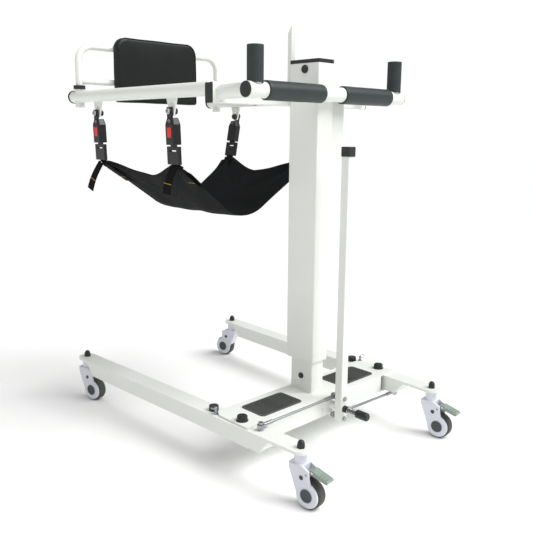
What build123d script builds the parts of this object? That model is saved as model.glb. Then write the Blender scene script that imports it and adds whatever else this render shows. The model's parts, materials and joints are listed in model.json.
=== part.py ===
"""Sit to stand lift: a wheeled base with spreading legs, a telescopic electric mast,
and a lifting carriage with handles, support arms, backrest and a buckled seat sling.

Millimetres, +Z up, +Y towards the patient, -Y towards the carer who pushes the lift.
The origin is on the floor, under the middle of the outline.  "Left" is the -X side.
"""
import os
from math import cos, radians, sin, sqrt, tan

from build123d import *

os.makedirs("parts", exist_ok=True)

# ---------------------------------------------------------------- driving dimensions
SIDES = {"left": -1, "right": 1}

run_fit = 0.08              # radial clearance of a turning pin in its hole
slide_gap = 0.3             # clearance per side of one tube sliding in another
skin_gap = 0.5              # clearance between plates that move over each other

# castors
wheel_d = 75
wheel_w = 28
wheel_edge_r = 5
trail = 33                  # swivel axis to wheel axle
fork_wall = 5.5
fork_gap = 0.7              # wheel side to fork wall
fork_edge_r = 3
wheel_room = 2              # wheel rim to fork
fork_top_z = 112
fork_lobe_r = 33            # round cheek beside the wheel
hub_stub_d = 27
swivel_d = 34               # raceway collar above the fork
stem_d = 12
# how far each castor rests turned from trailing straight ahead, in degrees
castor_turns = {"left_front": 6, "right_front": 6, "left_rear": 13, "right_rear": 193}
pedal_reach = 92            # swivel axis to brake pedal tip
pedal_w = 27

# legs
leg_pivot_x = 300
leg_splay = 2.3             # degrees, rest position of each leg
leg_front_len = 209         # pivot to front castor stem
leg_rear_len = 769          # pivot to rear castor stem
leg_w = 56
leg_h = 47
leg_wall = 3
leg_top_z = 148
leg_joint_y = 100           # front section ends, rear section begins
spigot_len = 120
nose_t = 8                  # flat plate over each castor
nose_run = 79               # stem to the upper end of the tube
nose_slant = 41             # how far the cut end of the tube leans back
tail_run = 36
tail_slant = 36
pivot_bolt_d = 12
pivot_cap_d = 28
pivot_cap_h = 15
castor_cap_d = 21
castor_cap_h = 21
knob_d = 27
knob_h = 15
knob_back = 14              # knob screw behind the leg joint
knob_screw_d = 8
knob_grooves = 10
knob_groove_r = 1.6
latch_ahead = 10            # pull pin ahead of the leg joint
latch_out = 14
latch_nut_r = 6.5
latch_nut_h = 7
latch_pin_r = 3.5
latch_pin_h = 18

# base
plate_t = 5
plate_past_pivot = 22       # base plates reach this far outside the leg pivots
plate_front = 45            # ahead of the leg pivots
plate_back = 95
plate_corner_r = 34
plate_front_corner_r = 5
beam_inside_pivot = 44
beam_wall = 4
pad_in_x = 86
pad_out_x = 245
pad_front = 23
pad_back = 70
pad_t = 3
pad_corner_r = 12

# mast
inner_w = 52
inner_d = 84
inner_wall = 3
inner_below_top = 148       # inner mast ends this far below the outer one
outer_w = 64
outer_d = 107
outer_wall = 3
outer_bottom_z = 251
outer_top_z = 1098
mast_front = 7              # outer mast face ahead of the leg pivots
mast_play = 0.2
guide_h = 40
cap_t = 10
actuator_d = 42
actuator_wall = 4
actuator_bottom_z = 178
actuator_below_top = 218
rod_d = 20
rod_bottom_z = 330
actuator_pin_d = 12
actuator_pin_lower_z = 200
actuator_pin_below_top = 16
actuator_back = 42          # actuator axis behind the leg pivots
lower_pin_head = (17.5, 4.5)    # diameter and height, inside the outer mast
upper_pin_head = (22, 6)

# spread lever and its rods
lever_z = 132               # pivot height
lever_w = 26
lever_wall = 2.5
lever_top_z = 850
lever_below = 37
lever_cap_h = 26
lever_gap = 22              # bracket face to lever
lever_arm = 30
lever_swing = 24
bracket_t = 12
bracket_half_w = 26
lever_bolt_d = 12
lever_pin_d = 8
rod_ahead = 70              # rods ahead of the leg pivots
tie_rod_d = 8
rod_end_d = 20
rod_end_t = 8
rod_shank_d = 11
rod_shank_len = 34
open_pivot_gap = 2          # radial, in the eyes at the lever
spring_d = 18
spring_wire_d = 2.4
spring_len = 36
spring_turns = 6
collar_len = 12
rubber_cap_len = 38
rubber_cap_d = 24

# lifting carriage
bar_z = 1014                # handle bar axis
bar_ahead = 27
bar_d = 40
bar_past_upright = 30
tube_wall = 2.5
end_cap_t = 3
grip_d = 49
grip_in_x = 41
grip_out_x = 251
upright_x = 282
upright_core_d = 32
upright_grip_d = 41.5
upright_h = 105
stub_d = 38
beam_h = 51
beam_d = 28
beam_drop = 3.5             # beam axis below the handle bar's
post_w = 14
post_x = -13                # the post stands a little left of the mast's middle
post_d = 14
post_top_z = 1204
post_slant = 20
arm_d = 38
arm_x = 291
arm_z = 1022
arm_end = 847               # rear end of the arms behind the leg pivots
arm_cap_t = 6
arm_cap_lip = 2             # the arm caps stand proud of the tube by this much
box_w = 63
box_d = 80
box_h = 142
box_top_z = 1000
box_back = 5
box_corner_r = 5
gland_r = 6
gland_len = 12
gland_in = (12, 14)         # gland axis from the box's near corner

# backrest
rest_from_end = 36          # backrest sockets ahead of the arm ends
rest_tube_d = 22
rest_top_z = 1184
rest_low_z = 1072
rest_bend_r = 50
rest_pad_w = 338
rest_pad_t = 28
rest_pad_bottom_z = 1008
rest_pad_top_z = 1221
rest_pad_corner_r = 40
socket_wall = 4
socket_top_z = 1046
socket_bottom_z = 988
collar_h = 12
collar_d = 38

# hangers, buckles and sling
hanger_backs = {"front": 301, "rear": 697}
hanger_t = 5
hanger_top_w = 46
hanger_low_w = 18
hanger_low_z = 955
hanger_bolt_z = 968
hanger_bolt_d = 8
spare_hole_z = 986
# how far each side's straps lean inwards, in degrees
buckle_tilts = {-1: 2, 1: 11}
buckle_w = 40
buckle_t = 28
buckle_top = 18             # bolt to buckle body, along the strap
buckle_len = 74
lug_t = 6
lug_w = 22
lug_out = 5.5
button_w = 18
button_len = 28
button_top = 44
button_travel = 3
button_gap = 0.3
button_t = 8
tongue_w = 26
tongue_t = 4
tongue_in = 22
adapter_w = 58
adapter_t = 10
adapter_len = 50
adapter_gap = 5
sling_t = 4
sling_apex_z = 626          # where the two flanks would meet
sling_fold_r = 130          # the flanks meet in a round belly
sling_corner_z = 816
sling_half_w = 270
sling_mid_x = -13
sling_margin = 22           # sling past the buckles, front and rear
sling_edge_sag = 50

# ---------------------------------------------------------------- derived places
plate_half_w = leg_pivot_x + plate_past_pivot
beam_half_w = leg_pivot_x - beam_inside_pivot
inner_top_z = outer_top_z - inner_below_top
actuator_top_z = outer_top_z - actuator_below_top
actuator_pin_upper_z = outer_top_z - actuator_pin_below_top
bar_half = upright_x + bar_past_upright
beam_half = arm_x + arm_d / 2
rest_back = arm_end - rest_from_end
fork_half_w = wheel_w / 2 + fork_gap + fork_wall
leg_bottom_z = leg_top_z - leg_h
plate_top_z = leg_top_z + skin_gap + plate_t
plate_low_z = leg_bottom_z - skin_gap - plate_t
front_turn = radians(castor_turns["left_front"])
pedal_corner = pedal_reach * cos(front_turn) + pedal_w / 2 * sin(front_turn)
front_reach = leg_front_len * cos(radians(leg_splay)) + pedal_corner
rear_reach = max(arm_end + arm_cap_t, leg_rear_len * cos(radians(leg_splay)) + trail + wheel_d / 2)
pivot_y = (front_reach - rear_reach) / 2
mast_front_y = pivot_y - mast_front
mast_mid_y = mast_front_y + outer_d / 2
mast_back_y = mast_front_y + outer_d
inner_mid_y = pivot_y + actuator_back + 1
actuator_y = pivot_y + actuator_back
base_front_y = pivot_y - plate_front
base_back_y = pivot_y + plate_back
lever_back_y = base_front_y - bracket_t - lever_gap
lever_front_y = lever_back_y - lever_w
rod_y = pivot_y - rod_ahead
rod_drop = lever_arm * (1 + cos(radians(lever_swing))) / 2
bar_y = pivot_y - bar_ahead
beam_mid_y = mast_back_y + beam_d / 2
beam_mid_z = bar_z - beam_drop
beam_back_y = mast_back_y + beam_d
arm_end_y = pivot_y + arm_end
rest_y = pivot_y + rest_back
hanger_ys = {end: pivot_y + back for end, back in hanger_backs.items()}


def save(piece, name):
    """Name a finished piece and write it to its own file."""
    piece.label = name
    export_step(piece, f"parts/{name}.step")


def leg_plane(side, height=0):
    """A level plane at the leg pivot whose Y axis runs back along the splayed leg."""
    splay = radians(leg_splay)
    along_x = (cos(splay), -side * sin(splay), 0)
    return Plane(origin=(side * leg_pivot_x, pivot_y, height), x_dir=along_x, z_dir=(0, 0, 1))


def leg_side_plane(side):
    """An upright plane through the leg: its X axis runs back along the leg, its Y axis up."""
    splay = radians(leg_splay)
    back = (side * sin(splay), cos(splay), 0)
    return Plane(origin=(side * leg_pivot_x, pivot_y, 0), x_dir=back, z_dir=(back[1], -back[0], 0))


def leg_point(side, back):
    """Where a point on the leg's centre line lies, seen from above."""
    splay = radians(leg_splay)
    return side * (leg_pivot_x + back * sin(splay)), pivot_y + back * cos(splay)


# ---------------------------------------------------------------- base
def base_plate(height):
    """The outline that the upper and lower base plates share."""
    with BuildPart() as plate:
        with BuildSketch(Plane.XY.offset(height)):
            with Locations((0, (base_front_y + base_back_y) / 2)):
                Rectangle(2 * plate_half_w, plate_front + plate_back)
        extrude(amount=plate_t)
        corners = plate.edges().filter_by(Axis.Z).group_by(Axis.Y)
        fillet(corners[-1], plate_corner_r)
        fillet(plate.edges().filter_by(Axis.Z).group_by(Axis.Y)[0], plate_front_corner_r)
        with Locations((leg_pivot_x, pivot_y, height), (-leg_pivot_x, pivot_y, height)):
            Cylinder(
                pivot_bolt_d / 2, plate_t, align=(Align.CENTER, Align.CENTER, Align.MIN), mode=Mode.SUBTRACT
            )
    return plate.part


save(base_plate(plate_top_z - plate_t), "base_top_plate")
save(base_plate(plate_low_z), "base_bottom_plate")

# rectangular tube between the plates; its open ends leave the legs room to swing
with BuildPart() as base_beam:
    with BuildSketch(Plane.YZ.offset(-beam_half_w)):
        with Locations(((base_front_y + base_back_y) / 2, leg_top_z - leg_h / 2)):
            Rectangle(plate_front + plate_back, leg_h + 2 * skin_gap)
            offset(amount=-beam_wall, mode=Mode.SUBTRACT)
    extrude(amount=2 * beam_half_w)
save(base_beam.part, "base_beam")

# ribbed rubber treads where the carer stands on the base
with BuildPart() as foot_pads:
    with BuildSketch(Plane.XY.offset(plate_top_z)):
        for side in SIDES.values():
            with Locations((side * (pad_in_x + pad_out_x) / 2, pivot_y + (pad_back - pad_front) / 2)):
                RectangleRounded(pad_out_x - pad_in_x, pad_front + pad_back, pad_corner_r)
    extrude(amount=pad_t)
save(foot_pads.part, "foot_pads")

with BuildPart() as leg_pivot_bolts:
    for side in SIDES.values():
        with BuildSketch(Plane.XY.offset(plate_low_z)):
            with Locations((side * leg_pivot_x, pivot_y)):
                Circle(pivot_bolt_d / 2)
        extrude(amount=plate_top_z - plate_low_z)
        with BuildSketch(Plane.XY.offset(plate_top_z)):
            with Locations((side * leg_pivot_x, pivot_y)):
                Circle(pivot_cap_d / 2)
        extrude(amount=pivot_cap_h)
        with BuildSketch(Plane.XY.offset(plate_low_z)):
            with Locations((side * leg_pivot_x, pivot_y)):
                RegularPolygon(pivot_bolt_d * 0.9, 6)
        extrude(amount=-pivot_bolt_d * 0.6)
    fillet(leg_pivot_bolts.edges().filter_by(GeomType.CIRCLE).group_by(Axis.Z)[-1], 3)
save(leg_pivot_bolts.part, "leg_pivot_bolts")

# ---------------------------------------------------------------- mast
with BuildPart() as inner_mast:
    with BuildSketch(Plane.XY.offset(plate_top_z)):
        with Locations((0, inner_mid_y)):
            RectangleRounded(inner_w, inner_d, 4)
            RectangleRounded(
                inner_w - 2 * inner_wall, inner_d - 2 * inner_wall, 1.5, mode=Mode.SUBTRACT
            )
    extrude(amount=inner_top_z - plate_top_z)
    with BuildSketch(Plane.YZ):
        with Locations((actuator_y, actuator_pin_lower_z)):
            Circle(actuator_pin_d / 2)
    extrude(amount=inner_w, both=True, mode=Mode.SUBTRACT)
save(inner_mast.part, "inner_mast")

with BuildPart() as outer_mast:
    with BuildSketch(Plane.XY.offset(outer_bottom_z)):
        with Locations((0, mast_mid_y)):
            RectangleRounded(outer_w, outer_d, 4)
            RectangleRounded(
                outer_w - 2 * outer_wall, outer_d - 2 * outer_wall, 1.5, mode=Mode.SUBTRACT
            )
    extrude(amount=outer_top_z - outer_bottom_z)
    with BuildSketch(Plane.YZ):
        with Locations((actuator_y, actuator_pin_upper_z)):
            Circle(actuator_pin_d / 2)
    extrude(amount=outer_w, both=True, mode=Mode.SUBTRACT)
save(outer_mast.part, "outer_mast")

# plastic bush in the mouth of the outer mast, running on the inner mast
with BuildPart() as mast_guide:
    with BuildSketch(Plane.XY.offset(outer_bottom_z)):
        with Locations((0, mast_mid_y)):
            RectangleRounded(outer_w - 2 * outer_wall, outer_d - 2 * outer_wall, 1.5)
        with Locations((0, inner_mid_y)):
            RectangleRounded(inner_w + 2 * mast_play, inner_d + 2 * mast_play, 4, mode=Mode.SUBTRACT)
    extrude(amount=guide_h)
save(mast_guide.part, "mast_guide")

# electric spindle drive: motor tube pinned to the inner mast, rod pinned to the outer
with BuildPart() as actuator_body:
    with BuildSketch(Plane.XY.offset(actuator_bottom_z)):
        with Locations((0, actuator_y)):
            Circle(actuator_d / 2)
    extrude(amount=actuator_top_z - actuator_bottom_z)
    with BuildSketch(Plane.XY.offset(actuator_bottom_z + 2 * actuator_d)):
        with Locations((0, actuator_y)):
            Circle(actuator_d / 2 - actuator_wall)
    extrude(amount=actuator_top_z - actuator_bottom_z, mode=Mode.SUBTRACT)
    with BuildSketch(Plane.XY.offset(actuator_top_z)):
        with Locations((0, actuator_y)):
            Circle(actuator_d / 2)
            Circle(rod_d / 2 + run_fit, mode=Mode.SUBTRACT)
    extrude(amount=-guide_h / 2)
    with BuildSketch(Plane.YZ):
        with Locations((actuator_y, actuator_pin_lower_z)):
            Circle(actuator_pin_d / 2)
    extrude(amount=inner_w, both=True, mode=Mode.SUBTRACT)
save(actuator_body.part, "actuator_body")

with BuildPart() as actuator_rod:
    with BuildSketch(Plane.XY.offset(rod_bottom_z)):
        with Locations((0, actuator_y)):
            Circle(rod_d / 2)
    extrude(amount=actuator_pin_upper_z + rod_d / 2 - rod_bottom_z)
    with BuildSketch(Plane.YZ):
        with Locations((actuator_y, actuator_pin_upper_z)):
            Circle(actuator_pin_d / 2)
    extrude(amount=rod_d, both=True, mode=Mode.SUBTRACT)
save(actuator_rod.part, "actuator_rod")


def actuator_pin(height, tube_w, head_d, head_t):
    """A cross pin through the mast with a domed plastic cap on each end."""
    with BuildPart() as pin:
        with BuildSketch(Plane.YZ):
            with Locations((actuator_y, height)):
                Circle(actuator_pin_d / 2)
        extrude(amount=tube_w / 2, both=True)
        for side in SIDES.values():
            with BuildSketch(Plane.YZ.offset(side * tube_w / 2)):
                with Locations((actuator_y, height)):
                    Circle(head_d / 2)
            extrude(amount=side * head_t)
        fillet(pin.edges().filter_by(GeomType.CIRCLE).group_by(Axis.X)[0], head_t / 2)
        fillet(pin.edges().filter_by(GeomType.CIRCLE).group_by(Axis.X)[-1], head_t / 2)
    return pin.part


save(actuator_pin(actuator_pin_lower_z, inner_w, *lower_pin_head), "actuator_lower_pin")
save(actuator_pin(actuator_pin_upper_z, outer_w, *upper_pin_head), "actuator_upper_pin")

# ---------------------------------------------------------------- spread lever
with BuildPart() as lever_bracket:
    with BuildSketch(Plane.XZ.offset(-base_front_y)):
        with Locations((0, (leg_bottom_z + plate_top_z) / 2 + 4)):
            RectangleRounded(2 * bracket_half_w, leg_h, 5)
    extrude(amount=bracket_t)
    with BuildSketch(Plane.XZ.offset(bracket_t - base_front_y)):
        with Locations((0, lever_z)):
            Circle(lever_bolt_d)
    extrude(amount=lever_gap - skin_gap)
    with BuildSketch(Plane.XZ.offset(-base_front_y)):
        with Locations((0, lever_z)):
            Circle(lever_bolt_d / 2)
    extrude(amount=bracket_t + lever_gap, mode=Mode.SUBTRACT)
save(lever_bracket.part, "lever_bracket")

with BuildPart() as lever_tube:
    with BuildSketch(Plane.XY.offset(lever_z - lever_below)):
        with Locations((0, (lever_back_y + lever_front_y) / 2)):
            RectangleRounded(lever_w, lever_w, 3)
            RectangleRounded(lever_w - 2 * lever_wall, lever_w - 2 * lever_wall, 1, mode=Mode.SUBTRACT)
    extrude(amount=lever_top_z - lever_z + lever_below)
    with BuildSketch(Plane.XZ.offset(-lever_back_y)):
        with Locations((0, lever_z)):
            Circle(lever_bolt_d / 2 + 2)
        with Locations((0, lever_z + lever_arm), (0, lever_z - lever_arm)):
            Circle(lever_pin_d / 2 + 1)
    extrude(amount=lever_w)
    with BuildSketch(Plane.XZ.offset(-lever_back_y)):
        with Locations((0, lever_z)):
            Circle(lever_bolt_d / 2 + run_fit)
        with Locations((0, lever_z + lever_arm), (0, lever_z - lever_arm)):
            Circle(lever_pin_d / 2)
    extrude(amount=lever_w, mode=Mode.SUBTRACT)
save(lever_tube.part, "lever_tube")

with BuildPart() as lever_cap:
    with BuildSketch(Plane.XY.offset(lever_top_z)):
        with Locations((0, (lever_back_y + lever_front_y) / 2)):
            RectangleRounded(lever_w - 2 * lever_wall, lever_w - 2 * lever_wall, 1)
    extrude(amount=-lever_cap_h / 2)
    with BuildSketch(Plane.XY.offset(lever_top_z)):
        with Locations((0, (lever_back_y + lever_front_y) / 2)):
            RectangleRounded(lever_w + 4, lever_w + 4, 5)
    extrude(amount=lever_cap_h)
    fillet(lever_cap.faces().sort_by(Axis.Z)[-1].edges(), 2)
save(lever_cap.part, "lever_cap")

# bolts that carry the rod eyes: through the lever and out behind it
pin_tail = rod_y + rod_end_t / 2 + 3.5 - lever_back_y
with BuildPart() as lever_rod_pins:
    for z in (lever_z + lever_arm, lever_z - lever_arm):
        with BuildSketch(Plane.XZ.offset(-lever_back_y - pin_tail)):
            with Locations((0, z)):
                Circle(lever_pin_d / 2)
        extrude(amount=pin_tail + lever_w)
        with BuildSketch(Plane.XZ.offset(-lever_front_y)):
            with Locations((0, z)):
                RegularPolygon(lever_pin_d * 0.85, 6)
        extrude(amount=lever_pin_d * 0.6)
        with BuildSketch(Plane.XZ.offset(-lever_back_y - pin_tail)):
            with Locations((0, z)):
                Circle(lever_pin_d * 0.9)
        extrude(amount=-3)
save(lever_rod_pins.part, "lever_rod_pins")

# the pivot bolt: collar, then the spring, then a rubber cap over the end
bolt_front = collar_len + spring_len + rubber_cap_len
with BuildPart() as lever_pivot_bolt:
    with BuildSketch(Plane.XZ.offset(-base_front_y)):
        with Locations((0, lever_z)):
            Circle(lever_bolt_d / 2)
    extrude(amount=base_front_y - lever_front_y + skin_gap + bolt_front - 5)
    with BuildSketch(Plane.XZ.offset(skin_gap - lever_front_y)):
        with Locations((0, lever_z)):
            Circle(spring_d / 2 + 1)
    extrude(amount=collar_len)
    with BuildSketch(Plane.XZ.offset(skin_gap - lever_front_y + collar_len + spring_len)):
        with Locations((0, lever_z)):
            Circle(rubber_cap_d / 2)
    extrude(amount=rubber_cap_len)
    fillet(lever_pivot_bolt.edges().filter_by(GeomType.CIRCLE).group_by(Axis.Y)[0], 6)
save(lever_pivot_bolt.part, "lever_pivot_bolt")

spring_pitch = (spring_len - spring_wire_d) / spring_turns
with BuildPart() as lever_spring:
    spring_y = lever_front_y - skin_gap - collar_len - spring_wire_d / 2 - 0.1
    with BuildLine():
        coil = Helix(
            spring_pitch, spring_len - spring_wire_d - 0.2, (spring_d - spring_wire_d) / 2,
            center=(0, spring_y, lever_z), direction=(0, -1, 0),
        )
    with BuildSketch(Plane(origin=coil @ 0, z_dir=coil % 0)):
        Circle(spring_wire_d / 2)
    sweep(path=coil, is_frenet=True)
save(lever_spring.part, "lever_spring")


def tie_rod(name, side, stud_z, eye_z):
    """One spread rod: a level eye on the leg stud, an upright eye on the lever pin."""
    stud_x, stud_y = leg_point(side, -rod_ahead)
    with BuildPart() as rod:
        with BuildSketch(Plane.XY.offset(stud_z - rod_end_t / 2)):
            with Locations((stud_x, stud_y)):
                Circle(rod_end_d / 2)
        extrude(amount=rod_end_t)
        with BuildSketch(Plane.XZ.offset(rod_end_t / 2 - rod_y)):
            with Locations((0, eye_z)):
                Circle(rod_end_d / 2)
        extrude(amount=-rod_end_t)
        start = Vector(stud_x, stud_y, stud_z)
        end = Vector(0, rod_y, eye_z)
        along = (end - start).normalized()
        with BuildSketch(Plane(origin=start + along * 8, z_dir=along)):
            Circle(tie_rod_d / 2)
        extrude(amount=(end - start).length - 16)
        for root, way in ((start, along), (end, along * -1)):
            with BuildSketch(Plane(origin=root + way * 8, z_dir=way)):
                Circle(rod_shank_d / 2)
            extrude(amount=rod_shank_len)
        with BuildSketch(Plane.XY.offset(stud_z - rod_end_t)):
            with Locations((stud_x, stud_y)):
                Circle(lever_pin_d / 2 + run_fit)
        extrude(amount=2 * rod_end_t, mode=Mode.SUBTRACT)
        with BuildSketch(Plane.XZ.offset(rod_end_t - rod_y)):
            with Locations((0, eye_z)):
                Circle(lever_pin_d / 2 + open_pivot_gap)
        extrude(amount=-2 * rod_end_t, mode=Mode.SUBTRACT)
    save(rod.part, name)


stud_zs = {
    "left": lever_z + rod_drop,
    "right": leg_bottom_z - 2 * skin_gap - rod_shank_d / 2 - 0.5,
}
tie_rod("left_tie_rod", -1, stud_zs["left"], lever_z + rod_drop)
tie_rod("right_tie_rod", 1, stud_zs["right"], lever_z - rod_drop)


# ---------------------------------------------------------------- legs
def castor_nose(side, stem_back, run):
    """The flat plate from the cut end of a leg tube out over the castor stem."""
    toward = 1 if stem_back < 0 else -1
    with BuildPart() as nose:
        with BuildSketch(leg_plane(side, leg_top_z - nose_t)):
            with Locations((0, stem_back + toward * (run + 2 * nose_t) / 2)):
                Rectangle(leg_w, run + 2 * nose_t)
            with Locations((0, stem_back)):
                Circle(leg_w / 2)
                Circle(stem_d / 2 + run_fit, mode=Mode.SUBTRACT)
        extrude(amount=nose_t)
    return nose.part


def leg_front(name, side):
    """Front leg section: pivot sleeve, castor nose, and the spigot for the rear section."""
    with BuildPart() as leg:
        with BuildSketch(leg_side_plane(side)):
            with BuildLine():
                Polyline(
                    (nose_run - leg_front_len, leg_top_z),
                    (leg_joint_y, leg_top_z),
                    (leg_joint_y, leg_bottom_z),
                    (nose_run + nose_slant - leg_front_len, leg_bottom_z),
                    close=True,
                )
            make_face()
        extrude(amount=leg_w / 2, both=True)
        with BuildSketch(leg_side_plane(side)):
            with BuildLine():
                Polyline(
                    (nose_run - leg_front_len + 2 * leg_wall, leg_top_z - leg_wall),
                    (leg_joint_y + 1, leg_top_z - leg_wall),
                    (leg_joint_y + 1, leg_bottom_z + leg_wall),
                    (nose_run + nose_slant - leg_front_len + leg_wall, leg_bottom_z + leg_wall),
                    close=True,
                )
            make_face()
        extrude(amount=leg_w / 2 - leg_wall, both=True, mode=Mode.SUBTRACT)
        with BuildSketch(leg_plane(side, leg_bottom_z)):
            Circle(pivot_bolt_d)
        extrude(amount=leg_h)
        with BuildSketch(leg_plane(side, leg_bottom_z)):
            Circle(pivot_bolt_d / 2 + run_fit)
        extrude(amount=leg_h, mode=Mode.SUBTRACT)
        # spigot: tight in this section, loose in the rear one
        with BuildSketch(leg_side_plane(side)):
            with Locations((leg_joint_y - spigot_len / 4, leg_top_z - leg_h / 2)):
                Rectangle(spigot_len / 2, leg_h - 2 * leg_wall)
        extrude(amount=leg_w / 2 - leg_wall, both=True)
        with BuildSketch(leg_side_plane(side)):
            with Locations((leg_joint_y + spigot_len / 2, leg_top_z - leg_h / 2)):
                Rectangle(spigot_len, leg_h - 2 * leg_wall - 2 * slide_gap)
        extrude(amount=leg_w / 2 - leg_wall - slide_gap, both=True)
        with BuildSketch(leg_side_plane(side)):
            with Locations((leg_joint_y + spigot_len / 4, leg_top_z - leg_h / 2)):
                Rectangle(1.5 * spigot_len + 1, leg_h - 4 * leg_wall)
        extrude(amount=leg_w / 2 - 2 * leg_wall, both=True, mode=Mode.SUBTRACT)
        add(castor_nose(side, -leg_front_len, nose_run))
    save(leg.part, name)


def leg_rear(name, side):
    """Rear leg section: slides over the spigot and ends in the rear castor plate."""
    tail = leg_rear_len - tail_run
    with BuildPart() as leg:
        with BuildSketch(leg_side_plane(side)):
            with BuildLine():
                Polyline(
                    (leg_joint_y + skin_gap, leg_top_z),
                    (tail, leg_top_z),
                    (tail - tail_slant, leg_bottom_z),
                    (leg_joint_y + skin_gap, leg_bottom_z),
                    close=True,
                )
            make_face()
        extrude(amount=leg_w / 2, both=True)
        with BuildSketch(leg_side_plane(side)):
            with BuildLine():
                Polyline(
                    (leg_joint_y, leg_top_z - leg_wall),
                    (tail - 2 * leg_wall, leg_top_z - leg_wall),
                    (tail - tail_slant - leg_wall, leg_bottom_z + leg_wall),
                    (leg_joint_y, leg_bottom_z + leg_wall),
                    close=True,
                )
            make_face()
        extrude(amount=leg_w / 2 - leg_wall, both=True, mode=Mode.SUBTRACT)
        add(castor_nose(side, leg_rear_len, tail_run))
        with BuildSketch(leg_plane(side, leg_top_z - leg_wall)):
            with Locations((0, leg_joint_y + knob_back)):
                Circle(knob_screw_d / 2 + run_fit)
        extrude(amount=leg_wall, mode=Mode.SUBTRACT)
    save(leg.part, name)


def leg_knob(name, side):
    """Clamp screw that presses on the spigot, with a ribbed plastic head."""
    screw_foot_z = leg_top_z - leg_wall - slide_gap / 2
    with BuildPart() as knob:
        with BuildSketch(leg_plane(side, screw_foot_z)):
            with Locations((0, leg_joint_y + knob_back)):
                Circle(knob_screw_d / 2)
        extrude(amount=leg_top_z + skin_gap - screw_foot_z)
        with BuildSketch(leg_plane(side, leg_top_z + skin_gap)):
            with Locations((0, leg_joint_y + knob_back)):
                Circle(knob_d / 2)
                with PolarLocations(knob_d / 2, knob_grooves):
                    Circle(knob_groove_r, mode=Mode.SUBTRACT)
        extrude(amount=knob_h)
        chamfer(knob.faces().sort_by(Axis.Z)[-1].edges(), 1.2)
    save(knob.part, name)


def leg_hardware(name, side):
    """Bright fittings of one front section: the rod stud and the spring-loaded pull pin."""
    eye_z = stud_zs[name.split("_")[0]]
    stud_way = 1 if eye_z > leg_top_z else -1
    stud_root_z = leg_top_z if stud_way > 0 else leg_bottom_z
    stud_nut_z = eye_z + stud_way * (rod_end_t / 2 + skin_gap)
    with BuildPart() as hardware:
        with BuildSketch(leg_plane(side, stud_root_z)):
            with Locations((0, -rod_ahead)):
                Circle(lever_pin_d / 2)
        extrude(amount=stud_nut_z - stud_root_z)
        with BuildSketch(leg_plane(side, stud_nut_z)):
            with Locations((0, -rod_ahead)):
                RegularPolygon(lever_pin_d * 0.9, 6)
        extrude(amount=stud_way * lever_pin_d * 0.7)
        if stud_way > 0:
            with BuildSketch(leg_plane(side, stud_root_z)):
                with Locations((0, -rod_ahead)):
                    Circle(lever_pin_d * 0.9)
            extrude(amount=eye_z - rod_end_t / 2 - skin_gap - stud_root_z)
        with BuildSketch(leg_plane(side, leg_top_z)):
            with Locations((side * latch_out, leg_joint_y - latch_ahead)):
                RegularPolygon(latch_nut_r, 6)
        extrude(amount=latch_nut_h)
        with BuildSketch(leg_plane(side, leg_top_z)):
            with Locations((side * latch_out, leg_joint_y - latch_ahead)):
                Circle(latch_pin_r)
        extrude(amount=latch_pin_h)
    save(hardware.part, name)


def castor_cap(name, side, back):
    """Domed cap over the castor stem nut."""
    with BuildPart() as cap:
        with BuildSketch(leg_plane(side, leg_top_z)):
            with Locations((0, back)):
                Circle(castor_cap_d / 2)
        extrude(amount=castor_cap_h)
        fillet(cap.faces().sort_by(Axis.Z)[-1].edges(), castor_cap_d * 0.4)
    save(cap.part, name)


for word, side in SIDES.items():
    leg_front(f"{word}_leg_front", side)
    leg_rear(f"{word}_leg_rear", side)
    leg_knob(f"{word}_leg_knob", side)
    leg_hardware(f"{word}_leg_hardware", side)
    castor_cap(f"{word}_front_castor_cap", side, -leg_front_len)
    castor_cap(f"{word}_rear_castor_cap", side, leg_rear_len)


# ---------------------------------------------------------------- castors
# Each castor piece is drawn once about its own swivel axis, X along the trail, and placed
# four times.
pedal_axle = (31, 92)       # along the trail, height
pedal_barrel_r = 6
pedal_pin_r = 3
axle_z = wheel_d / 2
axle_point = (trail, axle_z)
fork_outline = (
    (-24, fork_top_z), (18, fork_top_z), (39, 101), (39, 84), (44, 66),
    axle_point, (trail - fork_lobe_r, axle_z), (-24, 98),
)
fork_throat_back = 20       # the fork is open ahead of this, above the wheel
pedal_outline = (
    (27, 99), (45, 105), (71, 97), (pedal_reach - 3, 92), (pedal_reach, 88),
    (pedal_reach - 4, 83), (61, 89), (43, 93), (31, 86),
)
swivel_top_z = leg_top_z - nose_t - skin_gap

def castor_fork(holes):
    """The moulded shell over a wheel: two round cheeks, a closed top, the swivel collar and stem."""
    with BuildPart() as fork:
        with BuildSketch(Plane.XZ):
            with BuildLine():
                Polyline(*fork_outline, close=True)
            make_face()
            with Locations(axle_point):
                Circle(fork_lobe_r)
        extrude(amount=fork_half_w, both=True)
        fillet(fork.faces().filter_by(Plane.XZ).edges(), fork_edge_r)
        with BuildSketch(Plane.XZ):
            with Locations(axle_point):
                Circle(wheel_d / 2 + wheel_room)
            with Locations((fork_throat_back, axle_z)):
                Rectangle(2 * trail, fork_top_z, align=(Align.MIN, Align.MIN))
        extrude(amount=wheel_w / 2 + fork_gap, both=True, mode=Mode.SUBTRACT)
        for centre, radius in holes:
            with BuildSketch(Plane.XZ):
                with Locations(centre):
                    Circle(radius + run_fit)
            extrude(amount=fork_half_w + 1, both=True, mode=Mode.SUBTRACT)
        with BuildSketch(Plane.XY.offset(fork_top_z)):
            Circle(swivel_d / 2)
        extrude(amount=swivel_top_z - fork_top_z)
        with BuildSketch(Plane.XY.offset(swivel_top_z)):
            Circle(stem_d / 2)
        extrude(amount=nose_t)
    return fork.part


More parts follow.
